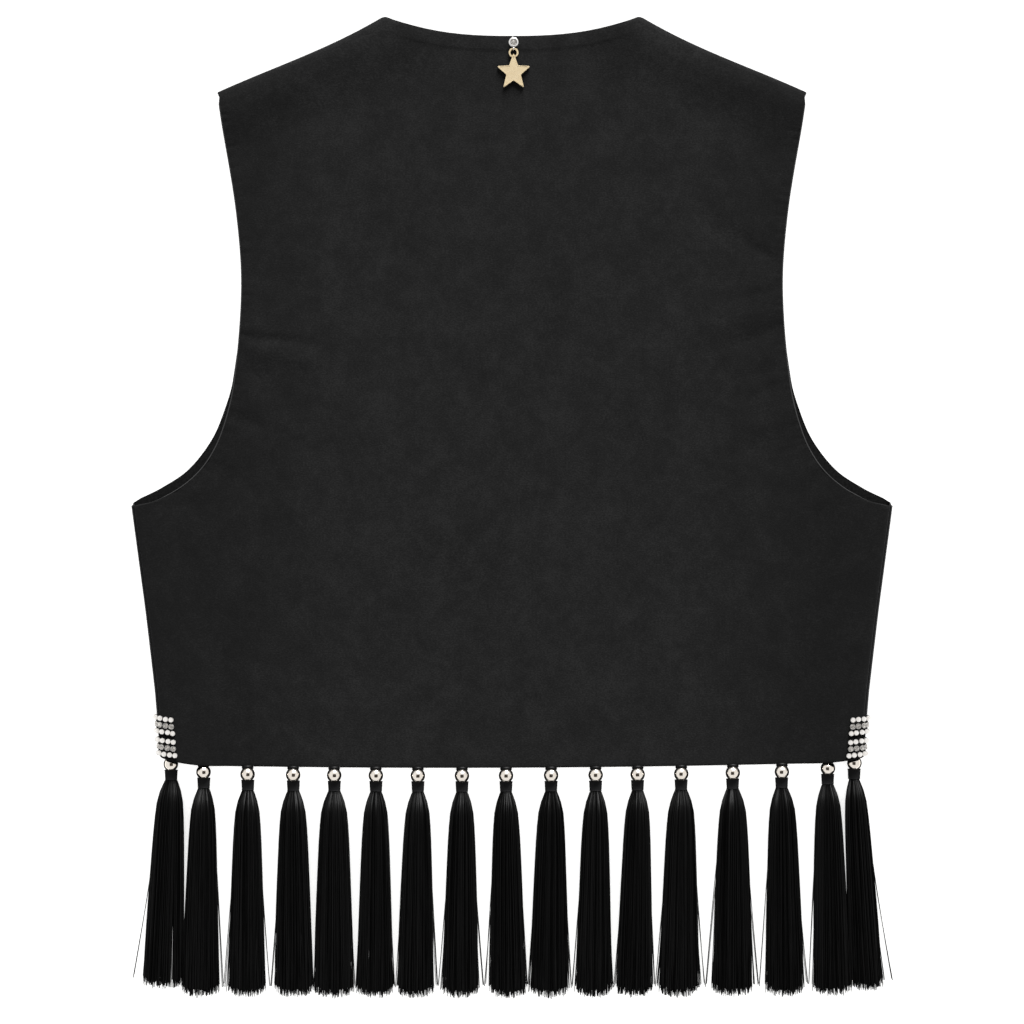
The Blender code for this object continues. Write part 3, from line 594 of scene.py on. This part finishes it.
def makeBack():
    points, line = backGrid()
    x, y = points[..., 0], points[..., 1]
    below = topAt(x) - y
    inNeck = fade((np.abs(x) - gilet["neckHalf"] + back["neckSoft"]) / back["neckSoft"])
    # the cloth rolls softly and a little unevenly over the shoulders, but not at the seam itself
    fine, broad = back["shoulderWaves"]
    uneven = 0.8 + 0.2 * np.sin(x / fine) * np.sin(x / broad + 1)
    rolled = uneven * (1 - inNeck) * np.clip(1 - below / back["shoulderRoll"], 0, 1) ** 2
    aboveSeam = np.clip(points[..., 2] / gilet["shoulderFold"] - 1, 0, 1)
    points[..., 2] -= back["shoulderRollDepth"] * rolled * aboveSeam
    normals = gridNormals(points, 1)
    relief = creaseRelief(x, y)
    # puckers of the turned armhole edges, no two alike
    step = back["puckerStep"]
    edge = spacedAlong(line, step)
    gap, near = edgeDistance(np.abs(x), y, edge)
    for side in (x < 0, x > 0):
        place = back["puckerStart"]
        while place < step * len(edge):
            place += dice.uniform(*back["puckerGap"])
            depth = dice.uniform(*back["puckerDepth"])
            wide = dice.uniform(*back["puckerWide"])
            reach = dice.uniform(*back["puckerReach"])
            hollow = np.exp(-((near * step - place) / wide) ** 2) * fade(gap / reach)
            relief -= np.where(side, depth * hollow, 0)
    # the facing under the neck edge ends in a soft step
    relief += back["facingRise"] * inNeck * (1 - ease((below - back["facing"]) / back["facingStep"]))
    relief -= back["neckRollDepth"] * inNeck * np.clip(1 - below / back["neckRoll"], 0, 1) ** 2
    shell = shellMesh(points, normals, gilet["cloth"], relief)
    piece = addPiece("backCloth", *shell, clothLook, "garment", "cloth", ("back",))
    # the turned armhole edges take a lighter copy of the cloth, a painted highlight where the rolled edge
    # catches the light
    piece.data.materials.append(edgeHighlightLook)
    for face in piece.data.polygons[2 * (points.shape[0] - 1) * (points.shape[1] - 1):]:
        if 0 < face.center.y < gilet["shoulderY"] - back["highlightEnd"]:
            face.material_index = 1
    return piece


# the fronts, which lie on the floor under the back
front = {"sideStep": 4 * mm, "rowStep": 3 * mm, "flatSteps": 34, "edgeCrowding": 1.2, "foldSteps": 12,
         "shoulderSteps": 8}


def frontGrid(sign):
    flatShares = 1 - (1 - np.linspace(0, 1, front["flatSteps"] + 1)[:-1]) ** front["edgeCrowding"]
    turns = np.linspace(0, 1, front["foldSteps"] + 1)

    def row(edgeY, flatEnd, xs, zs):
        bow, hang = ease(edgeY / armholeTop), ease(edgeY / gilet["hemCornerY"])

        def height(x, share):
            topX = gilet["neckHalf"] + (gilet["shoulderHalf"] - gilet["neckHalf"]) * share
            lift = gilet["frontHemLift"] * (1 - share) ** 2
            fall = hang * (hemAt(sign * x) - gilet["hemCornerY"] + lift)
            return edgeY + bow * (topAt(topX) - gilet["shoulderY"]) + fall

        edge = gilet["frontEdge"]
        start = height(np.array(edge), 0.0)
        past = max(0.0, (start - gilet["frontNeckY"]) / (gilet["halfLength"] - gilet["frontNeckY"]))
        inner = edge + (gilet["neckHalf"] - edge) * past ** gilet["frontNeckPower"]
        x = np.concatenate((inner + (flatEnd - inner) * flatShares, xs))
        share = np.concatenate((flatShares, np.ones(len(xs))))
        z = np.concatenate((np.zeros(len(flatShares)), zs))
        return np.stack((sign * x, height(x, share), z), axis=1)

    def foldRow(y, endAngle):
        half, fold = sideAt(y)
        angles = -math.pi / 2 + (endAngle + math.pi / 2) * turns
        return row(y, half - fold, half - fold + fold * np.cos(angles), fold + fold * np.sin(angles))

    grid = []
    for y in np.linspace(gilet["hemCornerY"], 0, round(-gilet["hemCornerY"] / front["sideStep"])):
        grid.append(foldRow(y, gilet["seamAngle"] - gilet["seamGap"] / 2 / sideAt(y)[1]))
    for half, y in np.array(gilet["frontUnderarm"]) * mm:
        grid.append(foldRow(y, -math.acos(1 - (gilet["underarmHalf"] - half) / gilet["underarmFold"])))
    line = throughKnots(gilet["frontArmhole"])
    for edgeX, y in spacedAlong(line[line[:, 1] <= armholeTop], front["rowStep"]):
        flatEnd = edgeX - gilet["underarmFold"]
        grid.append(row(y, flatEnd, flatEnd + gilet["underarmFold"] * turns, np.zeros(len(turns))))
    flatEnd = gilet["shoulderHalf"] - gilet["underarmFold"]
    xs = np.concatenate((gilet["neckHalf"] + (flatEnd - gilet["neckHalf"]) * flatShares,
                         flatEnd + gilet["underarmFold"] * turns))
    seam = -gilet["seamGap"] / 2 / gilet["shoulderFold"]
    for angle in np.linspace(-math.pi / 2, seam, front["shoulderSteps"]):
        grid.append(shoulderPoints(sign * xs, angle))
    return np.array(grid)


def makeFront(sign, word):
    points = frontGrid(sign)
    shell = shellMesh(points, gridNormals(points, -1), gilet["cloth"], np.zeros(points.shape[:2]))
    faceCount = (points.shape[0] - 1) * (points.shape[1] - 1)
    # the fronts' inner faces take the darker cloth, as painted shade
    return addPiece(f"frontCloth_{word}", *shell, clothLook, "garment", "cloth", (f"front_{word}",),
                    inside=(shadedInsideLook, faceCount))


backCloth = makeBack()
fronts = [makeFront(-1, "left"), makeFront(1, "right")]
print("cloth made:", len(backCloth.data.polygons), "faces on the back")


# beaded tapes round the side folds
tape = {
    "height": 11.6 * mm,
    "middles": {"upper": -136.5 * mm, "lower": -150.2 * mm},
    "innerReach": 10.6 * mm,
    "endAngle": math.radians(-32),
    "lift": 0.3 * mm,
    "thick": 0.5 * mm,
    "pearlRadius": 1.62 * mm,
    "pearlPitch": 3.14 * mm,
    "pearlStarts": {"upper": (1.1 * mm, 1.6 * mm), "lower": (0.9 * mm, 1.2 * mm)},
    "pearlSeat": 1.0 * mm,
    "pearlOffset": 4.1 * mm,
    "stoneRadius": 1.78 * mm,
    "stonePitch": 3.35 * mm,
    "stoneStart": 1.6 * mm,
    "stoneSeat": 0.8 * mm,
    "bend": 0.65,
    "endClear": 1.0 * mm,
    "jolt": (0.05 * mm, 0.07 * mm),  # along and across the row
    "ahead": 0.3 * mm,  # how far on the way along the tape is taken
    "gridSize": (7, 34),
}


def tapeStation(sign, baseY, far):
    # a point on the cloth far along the tape from its inner end, and the way out of the cloth there
    half, fold = (float(v) for v in sideAt(baseY))
    inner = half - tape["innerReach"]
    flat = half - fold - inner
    if far <= flat:
        x, angle = inner + far, math.pi / 2
    else:
        angle = math.pi / 2 - (far - flat) / fold
        x = half - fold + fold * math.cos(angle)
    y = baseY + tape["bend"] * float(hemAt(np.array(sign * x)) - hemAt(np.array(sign * inner)))
    half, fold = (float(v) for v in sideAt(y))
    if far <= flat:
        point = np.array((sign * x, y, float(heightAt(np.array(x), np.array(y)))))
        return point, np.array((0.0, 0.0, 1.0))
    way = np.array((sign * math.cos(angle), 0, math.sin(angle)))
    return np.array((sign * (half - fold), y, fold)) + way * fold, way


def tapeLength(baseY):
    fold = float(sideAt(baseY)[1])
    return tape["innerReach"] - fold + fold * (math.pi / 2 - tape["endAngle"])


def turnedTo(points, way, along):
    # points of a shape built round +Z, stood up along way with +X along the tape
    across = np.cross(way, along)
    return points @ np.stack((np.cross(across, way), across, way))


def pearlShape():
    hole = 0.35 * mm
    points, faces = turned(beadProfile(tape["pearlRadius"], hole, 13), 20)
    return points[:, [2, 1, 0]], faces  # the hole runs along the row


def stoneShapes():
    # a claw cup and its stone, in shares of the stone's radius
    r = tape["stoneRadius"]
    clawReach = 0.84
    cup = turned(((0.7, -0.25), (0.98, -0.2), (1.0, 0.28), (0.94, 0.36), (0.84, 0.30), (0.80, -0.1)), 24,
                 ring=True, size=r)
    claw, clawFaces = turned(((0.05, 0.2), (0.16, 0.28), (0.15, 0.46), (0.04, 0.52)), 8, size=r)
    claws = []
    for turn in np.radians((45, 135, 225, 315)):
        claws.append((claw + clawReach * r * np.array((math.cos(turn), math.sin(turn), 0)), clawFaces))
    gem = turned(((0.3, -0.2), (0.80, 0.22), (0.80, 0.28), (0.60, 0.48), (0.40, 0.56)), 10, size=r)
    return joined([cup, *claws]), gem


def makeTapes(sign, word):
    pearl, pearlFaces = pearlShape()
    (cup, cupFaces), (gem, gemFaces) = stoneShapes()
    gridRows, gridColumns = tape["gridSize"]
    joltAlong, joltAcross = tape["jolt"]
    for level, middle in tape["middles"].items():
        rows = []
        for across in np.linspace(-0.5, 0.5, gridRows):
            baseY = middle + across * tape["height"]
            fars = np.linspace(0, tapeLength(baseY), gridColumns)
            stations = [tapeStation(sign, baseY, far) for far in fars]
            rows.append([p + w * (tape["lift"] + tape["thick"]) for p, w in stations])
        grid = np.array(rows)
        normals = gridNormals(grid, 1)
        ribbon = shellMesh(grid, normals, tape["thick"], np.zeros(grid.shape[:2]))
        addPiece(f"tape_{word}_{level}", *ribbon, tapeLook, "garment", "pearl", (f"band_{word}_{level}",))
        pearls, cups, gems = [], [], []
        for offset, first in zip((-tape["pearlOffset"], tape["pearlOffset"]), tape["pearlStarts"][level]):
            baseY = middle + offset
            for far in np.arange(first, tapeLength(baseY) - tape["endClear"], tape["pearlPitch"]):
                place = far + dice.normal(0, joltAlong)
                point, way = tapeStation(sign, baseY + dice.normal(0, joltAcross), place)
                along = unit(tapeStation(sign, baseY, place + tape["ahead"])[0] - point)
                pearls.append((turnedTo(pearl, way, along) + point + way * tape["pearlSeat"], pearlFaces))
        for far in np.arange(tape["stoneStart"], tapeLength(middle) - tape["endClear"], tape["stonePitch"]):
            point, way = tapeStation(sign, middle, far)
            along = unit(tapeStation(sign, middle, far + tape["ahead"])[0] - point)
            seat = point + way * tape["stoneSeat"]
            cups.append((turnedTo(cup, way, along) + seat, cupFaces))
            gems.append((turnedTo(gem, way, along) + seat, gemFaces))
        addPiece(f"pearls_{word}_{level}", *joined(pearls), pearlLook, "garment", "pearl")
        addPiece(f"cups_{word}_{level}", *joined(cups), silverLook, "garment", "bezel")
        addPiece(f"stones_{word}_{level}", *joined(gems), stoneLook, "garment", "stone", smooth=False)


makeTapes(-1, "left")
makeTapes(1, "right")
print("beaded tapes made")


# balls and tassels along the hem
tassel = {
    "ballRadius": 4.5 * mm,
    "holeRadius": 0.9 * mm,
    "headRadius": 4.2 * mm,
    "headLength": 6.4 * mm,
    "headFlat": 0.54,
    "ballSunk": 0.9 * mm,
    "shankFlat": 0.75,
    "headTurns": 7,
    "skirtStart": 0.96,  # share of the binding's length
    "strands": 480,
    "points": 12,
    "rootCrowding": 1.7,
    "scatter": 0.03,
    "sideShare": 0.45,  # how far the strands crowd to both sides
    "strandRadius": 0.23 * mm,
    "tipRadius": 0.21 * mm,
    "floor": 0.25 * mm,
    "clumps": 24,
    "clumpPull": 0.2,
    "clumpUneven": (0.25, 40),  # share of a lock's width, and how fast it changes across
    # shares of the skirt's length over which the locks gather, the ends fray, the strands thin,
    # a parting opens and the strands still lie at the binding's height
    "clumpRun": (0.55, 1.0),
    "frayRun": (0.7, 1.0),
    "thinRun": (0.75, 1.0),
    "partingRun": (0.45, 0.95),
    "headRun": (0.0, 0.1),
    "longest": 1.018,
    "raggedEnds": 0.042,
    "clumpEnds": 0.008,
    "roundEnds": 0.026,
    "roundPower": 2.5,
    "drift": 0.28 * mm,
    "driftWaves": (0.6, 1.6),
    "loose": (0.30 * mm, 0.45 * mm),  # in the middle, and more at the sides
    "partings": {1: 0.42},  # gaps that open towards the tip, by tassel and place across
    "partingOpen": 0.04,
    "partingWide": 0.22,
    "hairRadius": 0.26 * mm,
    "hairFrom": (0.16, 0.30),  # share of the skirt's length
    "hairOut": 0.62,
    "hairHeight": 4.5 * mm,
    "hairReach": 6.5 * mm,  # past the end tassels
    "hairAside": (0.2 * mm, 0.9 * mm),
    "hairEnd": (4 * mm, 7 * mm),
    "hairBow": 0.5 * mm,
    # x and y in mm by which the end tassels hang off their solids' middles
    "nudges": {1: (0.8, 0.95), 17: (0.0, 1.1)},
    # tip x and half width of each skirt in mm, from the left
    "tips": ((-216.2, 12.5), (-193.1, 11.4), (-164.4, 11.6), (-135.0, 12.0), (-110.5, 12.5), (-85.0, 11.3),
             (-59.8, 11.4), (-32.1, 11.3), (-2.7, 11.3), (22.9, 12.1), (50.4, 11.3), (75.3, 11.3),
             (103.2, 12.4), (136.7, 12.6), (169.0, 12.0), (198.4, 11.8), (219.6, 10.2)),
    # share of the skirt's length, share of its tip's half width, half height in mm
    "skirt": ((0.0, 0.28, 1.5), (0.02, 0.37, 2.4), (0.045, 0.475, 3.8), (0.07, 0.56, 4.6), (0.10, 0.625, 5.0),
              (0.15, 0.68, 5.1), (0.24, 0.74, 5.0), (0.39, 0.805, 4.7), (0.53, 0.86, 4.3), (0.68, 0.913, 4.0),
              (0.83, 0.96, 3.6), (1.0, 1.0, 3.2)),
}


def strandMesh(paths, radii, turns):
    # three-sided strands that run along Y: paths is strands x points x 3
    count, length = paths.shape[:2]
    corners = turns[:, None] + np.array((0, 2, 4)) * math.pi / 3
    ring = np.stack((np.cos(corners), np.zeros_like(corners), np.sin(corners)), axis=-1)
    points = paths[:, :, None, :] + radii[:, :, None, None] * ring[:, None, :, :]
    index = np.arange(count * length * 3).reshape(count, length, 3)
    sides = np.concatenate([quads(strand) for strand in index])
    ends = np.concatenate((index[:, 0], index[:, -1]))
    return points.reshape(-1, 3), [*sides, *ends]


def skirtStrands(root, tipX, tipHalf, tipY, parting=None):
    count, steps = tassel["strands"], tassel["points"]
    shares, widths, heights = np.array(tassel["skirt"]).T
    order = np.arange(count)
    reach = np.sqrt((order + 0.5) / count)
    angle = order * math.pi * (3 - math.sqrt(5))
    # u across the skirt and v up from its middle, both from -1 to 1
    u = np.clip(reach * np.cos(angle) + dice.normal(0, tassel["scatter"], count), -1, 1)
    u = (1 - tassel["sideShare"]) * u + tassel["sideShare"] * np.sin(math.pi / 2 * u)
    v = np.clip(reach * np.sin(angle) + dice.normal(0, tassel["scatter"], count), -1, 1)
    along = np.linspace(0, 1, steps) ** tassel["rootCrowding"]
    lock = np.round((u + 1) / 2 * tassel["clumps"]).astype(int)
    clump = lock / tassel["clumps"] * 2 - 1
    uneven, pace = tassel["clumpUneven"]
    clump = clump + uneven / tassel["clumps"] * np.sin(clump * pace)
    # ends: cut a little round, uneven by the lock and by the strand, with few that reach the last
    trim = tassel["longest"] - tassel["raggedEnds"] * (1 - dice.random(count) ** 3)
    trim -= tassel["clumpEnds"] * dice.random(tassel["clumps"] + 1)[lock]
    trim -= tassel["roundEnds"] * np.abs(u) ** tassel["roundPower"]
    t = along[None, :] * trim[:, None]
    pull = tassel["clumpPull"] * rising(t, *tassel["clumpRun"])
    side = u[:, None] * (1 - pull) + clump[:, None] * pull
    drift = dice.normal(0, tassel["drift"], count)[:, None]
    waves = t * dice.uniform(*tassel["driftWaves"], count)[:, None] + dice.random(count)[:, None]
    drift = drift * np.sin(math.pi * waves) * t
    loose = tassel["loose"][0] + tassel["loose"][1] * u ** 4  # the outer strands stand apart
    fray = (dice.normal(0, 1, count) * loose)[:, None] * rising(t, *tassel["frayRun"])
    if parting is not None:
        off = side - parting
        opened = tassel["partingOpen"] * np.exp(-(off / tassel["partingWide"]) ** 2)
        side = side + np.sign(off) * opened * rising(t, *tassel["partingRun"])
    wide = np.interp(t, shares, widths) * tipHalf
    tall = np.interp(t, shares, heights) * mm
    x = root[0] + (tipX - root[0]) * t + side * wide + drift + fray
    y = root[1] + (tipY - root[1]) * t
    start = tassel["headRadius"] * tassel["headFlat"] * (1 - rising(t, *tassel["headRun"]))
    level = np.maximum(tall, start) + tassel["floor"] + tassel["strandRadius"]
    z = level + v[:, None] * (tall - tassel["strandRadius"])
    thinner = tassel["tipRadius"] - tassel["strandRadius"]
    radii = tassel["strandRadius"] + thinner * rising(t, *tassel["thinRun"])
    return strandMesh(np.stack((x, y, z), axis=-1), radii, dice.uniform(0, 2 * math.pi, count))


def strayHair(start, end, bow):
    t = np.linspace(0, 1, tassel["points"])
    low = tassel["floor"] + tassel["hairRadius"]
    return np.stack((start[0] + (end[0] - start[0]) * t ** 1.15 + bow * np.sin(math.pi * t),
                     start[1] + (end[1] - start[1]) * t,
                     low + (start[2] - low) * (1 - ease(t / 0.5))), axis=-1)


def ballShape():
    hole, lip = tassel["holeRadius"], 0.12 * mm
    profile = beadProfile(tassel["ballRadius"], hole, 27)
    top = profile[0][1]
    profile += [(hole - lip, -top + 2 * lip), (hole - lip, top - 2 * lip)]
    return turned(profile, 44, axis="y", ring=True)


def headShape():
    # a top that cups the ball, a tapered run of ribbon turns and a lower rim, pressed flat
    profile = [(0.20, -0.24), (0.50, -0.20), (0.78, -0.06), (0.90, 0.0), (0.98, -0.02), (1.0, -0.07)]
    firstTurn, turnPitch, turnDepth = 0.12, 0.11, 0.02
    for n in range(tassel["headTurns"]):
        y = firstTurn + turnPitch * n
        waist = 0.97 - 0.08 * y
        profile += [(waist - turnDepth, -y), (waist, -(y + turnPitch / 2))]
    profile += [(0.86, -0.90), (0.91, -0.93), (0.90, -0.98), (0.82, -1.0), (0.4, -0.99)]
    points, faces = turned(profile, 36, axis="y", size=(tassel["headRadius"], tassel["headLength"]))
    return points * (1, 1, tassel["headFlat"]), faces


def shankShape():
    # the wound shank that caps the ball below the hem
    profile = ((0.5, 1.3), (2.7, 1.2), (3.3, 0.8), (3.6, 0.1), (3.6, -0.6), (3.3, -1.25), (2.7, -0.85),
               (0.5, 0.05))  # mm
    points, faces = turned(profile, 24, axis="y", size=mm)
    return points * (1, 1, tassel["shankFlat"]), faces


def makeTassels():
    ball, ballFaces = ballShape()
    head, headFaces = headShape()
    shank, shankFaces = shankShape()
    count = len(tassel["tips"])
    for n, (tipX, tipHalf) in enumerate(np.array(tassel["tips"]) * mm):
        number = f"{n + 1:02d}"
        low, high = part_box(f"bead_{number}")
        centre = np.array((low + high) / 2) + np.array((*tassel["nudges"].get(n + 1, (0, 0)), 0)) * mm
        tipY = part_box(f"tassel_{number}")[0][1]
        top = np.array((centre[0], centre[1] - tassel["ballRadius"] + tassel["ballSunk"],
                        tassel["headRadius"] * tassel["headFlat"] + tassel["floor"]))
        addPiece(f"ball_{number}", ball + centre, ballFaces, nickelLook, "garment", "ball",
                 (f"bead_{number}",))
        addPiece(f"binding_{number}", head + top, headFaces, ribbonLook, "garment", "thread")
        wound = shank + centre + np.array((0, tassel["ballRadius"], 0)), shankFaces
        root = top - np.array((0, tassel["skirtStart"] * tassel["headLength"], 0))
        strands = skirtStrands(root, tipX, tipHalf, tipY, tassel["partings"].get(n + 1))
        # hairs that stray to the middle of the gap on either side
        hairs = []
        for sign, other in ((-1, n - 1), (1, n + 1)):
            endX = tipX + sign * (tipHalf + tassel["hairReach"])
            if 0 <= other < count:
                nextX, nextHalf = np.array(tassel["tips"][other]) * mm
                endX = (tipX + sign * tipHalf + nextX - sign * nextHalf) / 2
            for strand in range(2):
                share = dice.uniform(*tassel["hairFrom"])
                start = (root[0] + (tipX - root[0]) * share + sign * tassel["hairOut"] * tipHalf,
                         root[1] + (tipY - root[1]) * share, tassel["hairHeight"])
                aside = tassel["hairAside"][0] + tassel["hairAside"][1] * strand * dice.random()
                end = (endX - sign * aside, tipY + dice.uniform(*tassel["hairEnd"]))
                hairs.append(strayHair(start, end, sign * tassel["hairBow"] * dice.random()))
        hairs = np.array(hairs)
        radii = np.full(hairs.shape[:2], tassel["hairRadius"])
        hair = strandMesh(hairs, radii, dice.uniform(0, 2, len(hairs)))
        addPiece(f"skirt_{number}", *joined([strands, hair, wound]), threadLook, "garment", "thread",
                 (f"tassel_{number}",))


makeTassels()
print("tassels made")


# star charm at the back neck
charm = {
    "bezelRadius": 3.0 * mm,
    "bezelHeight": 2.7 * mm,
    "eyeMiddle": 1.05 * mm,
    "eyeWire": 0.32 * mm,
    "ringMiddle": 2.5 * mm,
    "ringWire": 0.68 * mm,
    "starOuter": 11.2 * mm,
    "starInner": 5.3 * mm,
    "starWidth": 0.92,
    "tipRound": 2.0 * mm,
    "tipExtra": 1.2 * mm,
    "notchRound": 0.3 * mm,
    "tipInRing": 1.6 * mm,
    # inset and height in mm, from the underside over the bevelled rim to the face
    "starLevels": ((0.35, -1.3), (0.08, -1.15), (0.0, -0.8), (0.0, 0.35), (0.08, 0.66), (0.24, 0.85),
                   (0.42, 0.90), (0.58, 0.85), (0.72, 0.70), (0.86, 0.62), (1.0, 0.62)),
}


def ringShape(middle, wire, centre, across, up):
    turns = np.linspace(0, 2 * math.pi, 48, endpoint=False)
    twists = np.linspace(0, 2 * math.pi, 14, endpoint=False)
    across, up = np.array(across, float), np.array(up, float)
    normal = np.cross(across, up)
    out = np.cos(turns)[:, None] * across + np.sin(turns)[:, None] * up
    points = (np.array(centre) + out[:, None, :] * (middle + wire * np.cos(twists))[None, :, None]
              + normal * (wire * np.sin(twists))[None, :, None])
    index = np.arange(len(turns) * len(twists)).reshape(len(turns), len(twists))
    return points.reshape(-1, 3), [*quads(index, roundRows=True)]


def starOutline(inset):
    # ten corners, each rounded by a small arc of points; inset moves every side in
    corners = []
    for n in range(10):
        turn = math.pi / 2 + math.pi * n / 5
        reach = charm["starOuter"] + charm["tipExtra"] if n % 2 == 0 else charm["starInner"]
        corners.append(np.array((charm["starWidth"] * reach * math.cos(turn), reach * math.sin(turn))))
    moved = []
    for n in range(10):
        before, here, after = corners[n - 1], corners[n], corners[(n + 1) % 10]
        one, two = unit(here - before), unit(after - here)
        normalOne, normalTwo = np.array((-one[1], one[0])), np.array((-two[1], two[0]))
        bisector = unit(normalOne + normalTwo)
        moved.append(here + bisector * inset / max(0.2, float(bisector @ normalOne)))
    outline = []
    for n in range(10):
        before, here, after = moved[n - 1], moved[n], moved[(n + 1) % 10]
        size = charm["tipRound"] if n % 2 == 0 else charm["notchRound"]
        start, end = here + unit(before - here) * size, here + unit(after - here) * size
        for share in np.linspace(0, 1, 7):
            outline.append((1 - share) ** 2 * start + 2 * share * (1 - share) * here + share ** 2 * end)
    return np.array(outline)


def starShape(centre):
    rings = []
    for inset, height in np.array(charm["starLevels"]) * mm:
        flat = starOutline(inset)
        rings.append(np.column_stack((flat, np.full(len(flat), height))))
    size = len(rings[0])
    hubs = [[[0, 0, rings[end][0, 2]]] for end in (0, -1)]
    points = np.concatenate(rings + hubs)
    index = np.arange(len(rings) * size).reshape(-1, size)
    faces = [*quads(index)]
    for ring, hub in ((index[0], len(points) - 2), (index[-1], len(points) - 1)):
        faces += [(a, b, hub) for a, b in zip(ring, np.roll(ring, -1))]
    return points + centre, faces


def makeCharm():
    hinge = np.array(frame["joints"][0]["pos_m"])
    low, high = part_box("charm_stone")
    seat = np.array(((low[0] + high[0]) / 2, (low[1] + high[1]) / 2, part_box("charm_bezel")[0][2]))
    size = charm["bezelRadius"], charm["bezelHeight"]
    cup = turned(((0.5, 0.06), (0.74, 0.0), (0.79, 0.2), (0.80, 0.76), (0.98, 0.86), (1.0, 0.92),
                  (0.93, 0.97), (0.80, 0.98), (0.68, 0.96), (0.62, 0.84), (0.60, 0.36)), 48,
                 ring=True, size=size)
    plate = turned(((0.5, 0.3), (0.64, 0.34), (0.5, 0.38)), 32, size=size)
    eye = ringShape(charm["eyeMiddle"], charm["eyeWire"], hinge - seat, (0, 1, 0), (0, 0, 1))
    points, faces = joined([cup, plate, eye])
    addPiece("bezel", points + seat, faces, silverLook, "garment", "bezel", ("charm_bezel",))
    gem, gemFaces = turned(((0.16, 0.45), (0.58, 0.86), (0.58, 0.90), (0.45, 1.06), (0.30, 1.12)), 12,
                           size=size)
    addPiece("bezelStone", gem + seat, gemFaces, stoneLook, "garment", "stone", ("charm_stone",),
             smooth=False)
    middle = hinge - np.array((0, charm["ringMiddle"], 0))
    ring = ringShape(charm["ringMiddle"], charm["ringWire"], middle, (1, 0, 0), (0, 1, 0))
    drop = 2 * charm["ringMiddle"] - charm["tipInRing"] + charm["starOuter"]
    star = starShape(hinge - np.array((0, drop, 0)))
    addPiece("starCharm", *joined([ring, star]), goldLook, "charm", "gold", ("star_charm",))


makeCharm()
print("charm made")


# floor, light and camera, straight above the laid gilet
studio = {
    "floorHalf": 9.0,
    "floorLevel": -0.1 * mm,
    "floorColour": "#f4f4f3",
    "floorGlow": 0.75,
    "worldColour": "#ffffff",
    "worldStrength": 0.90,
    "keyWay": (0.14, 0.89, 0.44),
    "keyAngle": math.radians(30),
    "keyStrength": 12.5,
    "keySpares": ("pearls", "cups", "stones", "bezelStone", "starCharm"),
    "flagHeight": 0.8,
    "flagBox": ((-0.42, -0.60), (0.42, 0.15)),
    "stripHeight": -0.05 * mm,
    "stripBox": ((-0.24, -0.195), (0.24, -0.150)),
    "cameraHeight": 2.4,  # over the cloth
    "clothHeight": 5 * mm,
    "clipEnd": 30,
    "frameWidth": 633.9 * mm,
    "frameMiddle": (0.0, -3.8 * mm),
    "sensor": 36.0,
}


def plainMaterial(name, hexText, roughness, glow=0.0):
    return startMaterial(name, {
        "Base Color": linear(hexText), "Roughness": roughness, "Specular IOR Level": 0.0,
        "Emission Color": linear(hexText), "Emission Strength": glow})[0]


def addPlane(name, low, high, z, look):
    mesh = bpy.data.meshes.new(name)
    corners = [(low[0], low[1], z), (high[0], low[1], z), (high[0], high[1], z), (low[0], high[1], z)]
    mesh.from_pydata(corners, [], [(0, 1, 2, 3)])
    mesh.materials.append(look)
    plane = bpy.data.objects.new(name, mesh)
    bpy.context.scene.collection.objects.link(plane)
    return plane


def makeStudio():
    scene = bpy.context.scene
    scene.view_settings.view_transform = "Standard"
    half = studio["floorHalf"]
    paper = plainMaterial("white backlit acrylic", studio["floorColour"], 0.9, studio["floorGlow"])
    floor = addPlane("floor", (-half, -half), (half, half), studio["floorLevel"], paper)
    # dark cards that show only in the polish, as painted reflections: one overhead for the dark spots in the
    # balls, one strip on the floor for painted shade at their edges
    for name, hexText in (("flag", "#37332f"), ("strip", "#0b0a09")):
        low, high = studio[name + "Box"]
        card = addPlane(name, low, high, studio[name + "Height"], plainMaterial(name + " card", hexText, 0.9))
        card.visible_camera = card.visible_diffuse = card.visible_shadow = False
    world = bpy.data.worlds.new("soft white studio")
    world.use_nodes = True
    sky = world.node_tree.nodes["Background"]
    sky.inputs["Color"].default_value = linear(studio["worldColour"])
    sky.inputs["Strength"].default_value = studio["worldStrength"]
    scene.world = world
    # a broad far softbox, low enough to rake the cloth
    key = bpy.data.lights.new("far softbox", "SUN")
    key.angle = studio["keyAngle"]
    key.energy = studio["keyStrength"]
    lamp = bpy.data.objects.new("far softbox", key)
    lamp.rotation_euler = (-Vector(studio["keyWay"])).to_track_quat("-Z", "Y").to_euler()
    scene.collection.objects.link(lamp)
    # it is kept off the floor, the pearls, the set stones and the star
    spared = bpy.data.collections.new("spared by the softbox")
    for piece in [floor] + [p for p in scene.objects if p.name.startswith(studio["keySpares"])]:
        spared.objects.link(piece)
    for linked in spared.collection_objects:
        linked.light_linking.link_state = "EXCLUDE"
    lamp.light_linking.receiver_collection = spared
    lens = bpy.data.cameras.new("camera")
    lens.sensor_width = studio["sensor"]
    lens.lens = studio["sensor"] * studio["cameraHeight"] / studio["frameWidth"]
    lens.clip_end = studio["clipEnd"]
    camera = bpy.data.objects.new("camera", lens)
    camera.location = (*studio["frameMiddle"], studio["cameraHeight"] + studio["clothHeight"])
    scene.collection.objects.link(camera)
    scene.camera = camera


makeStudio()
print("studio made")
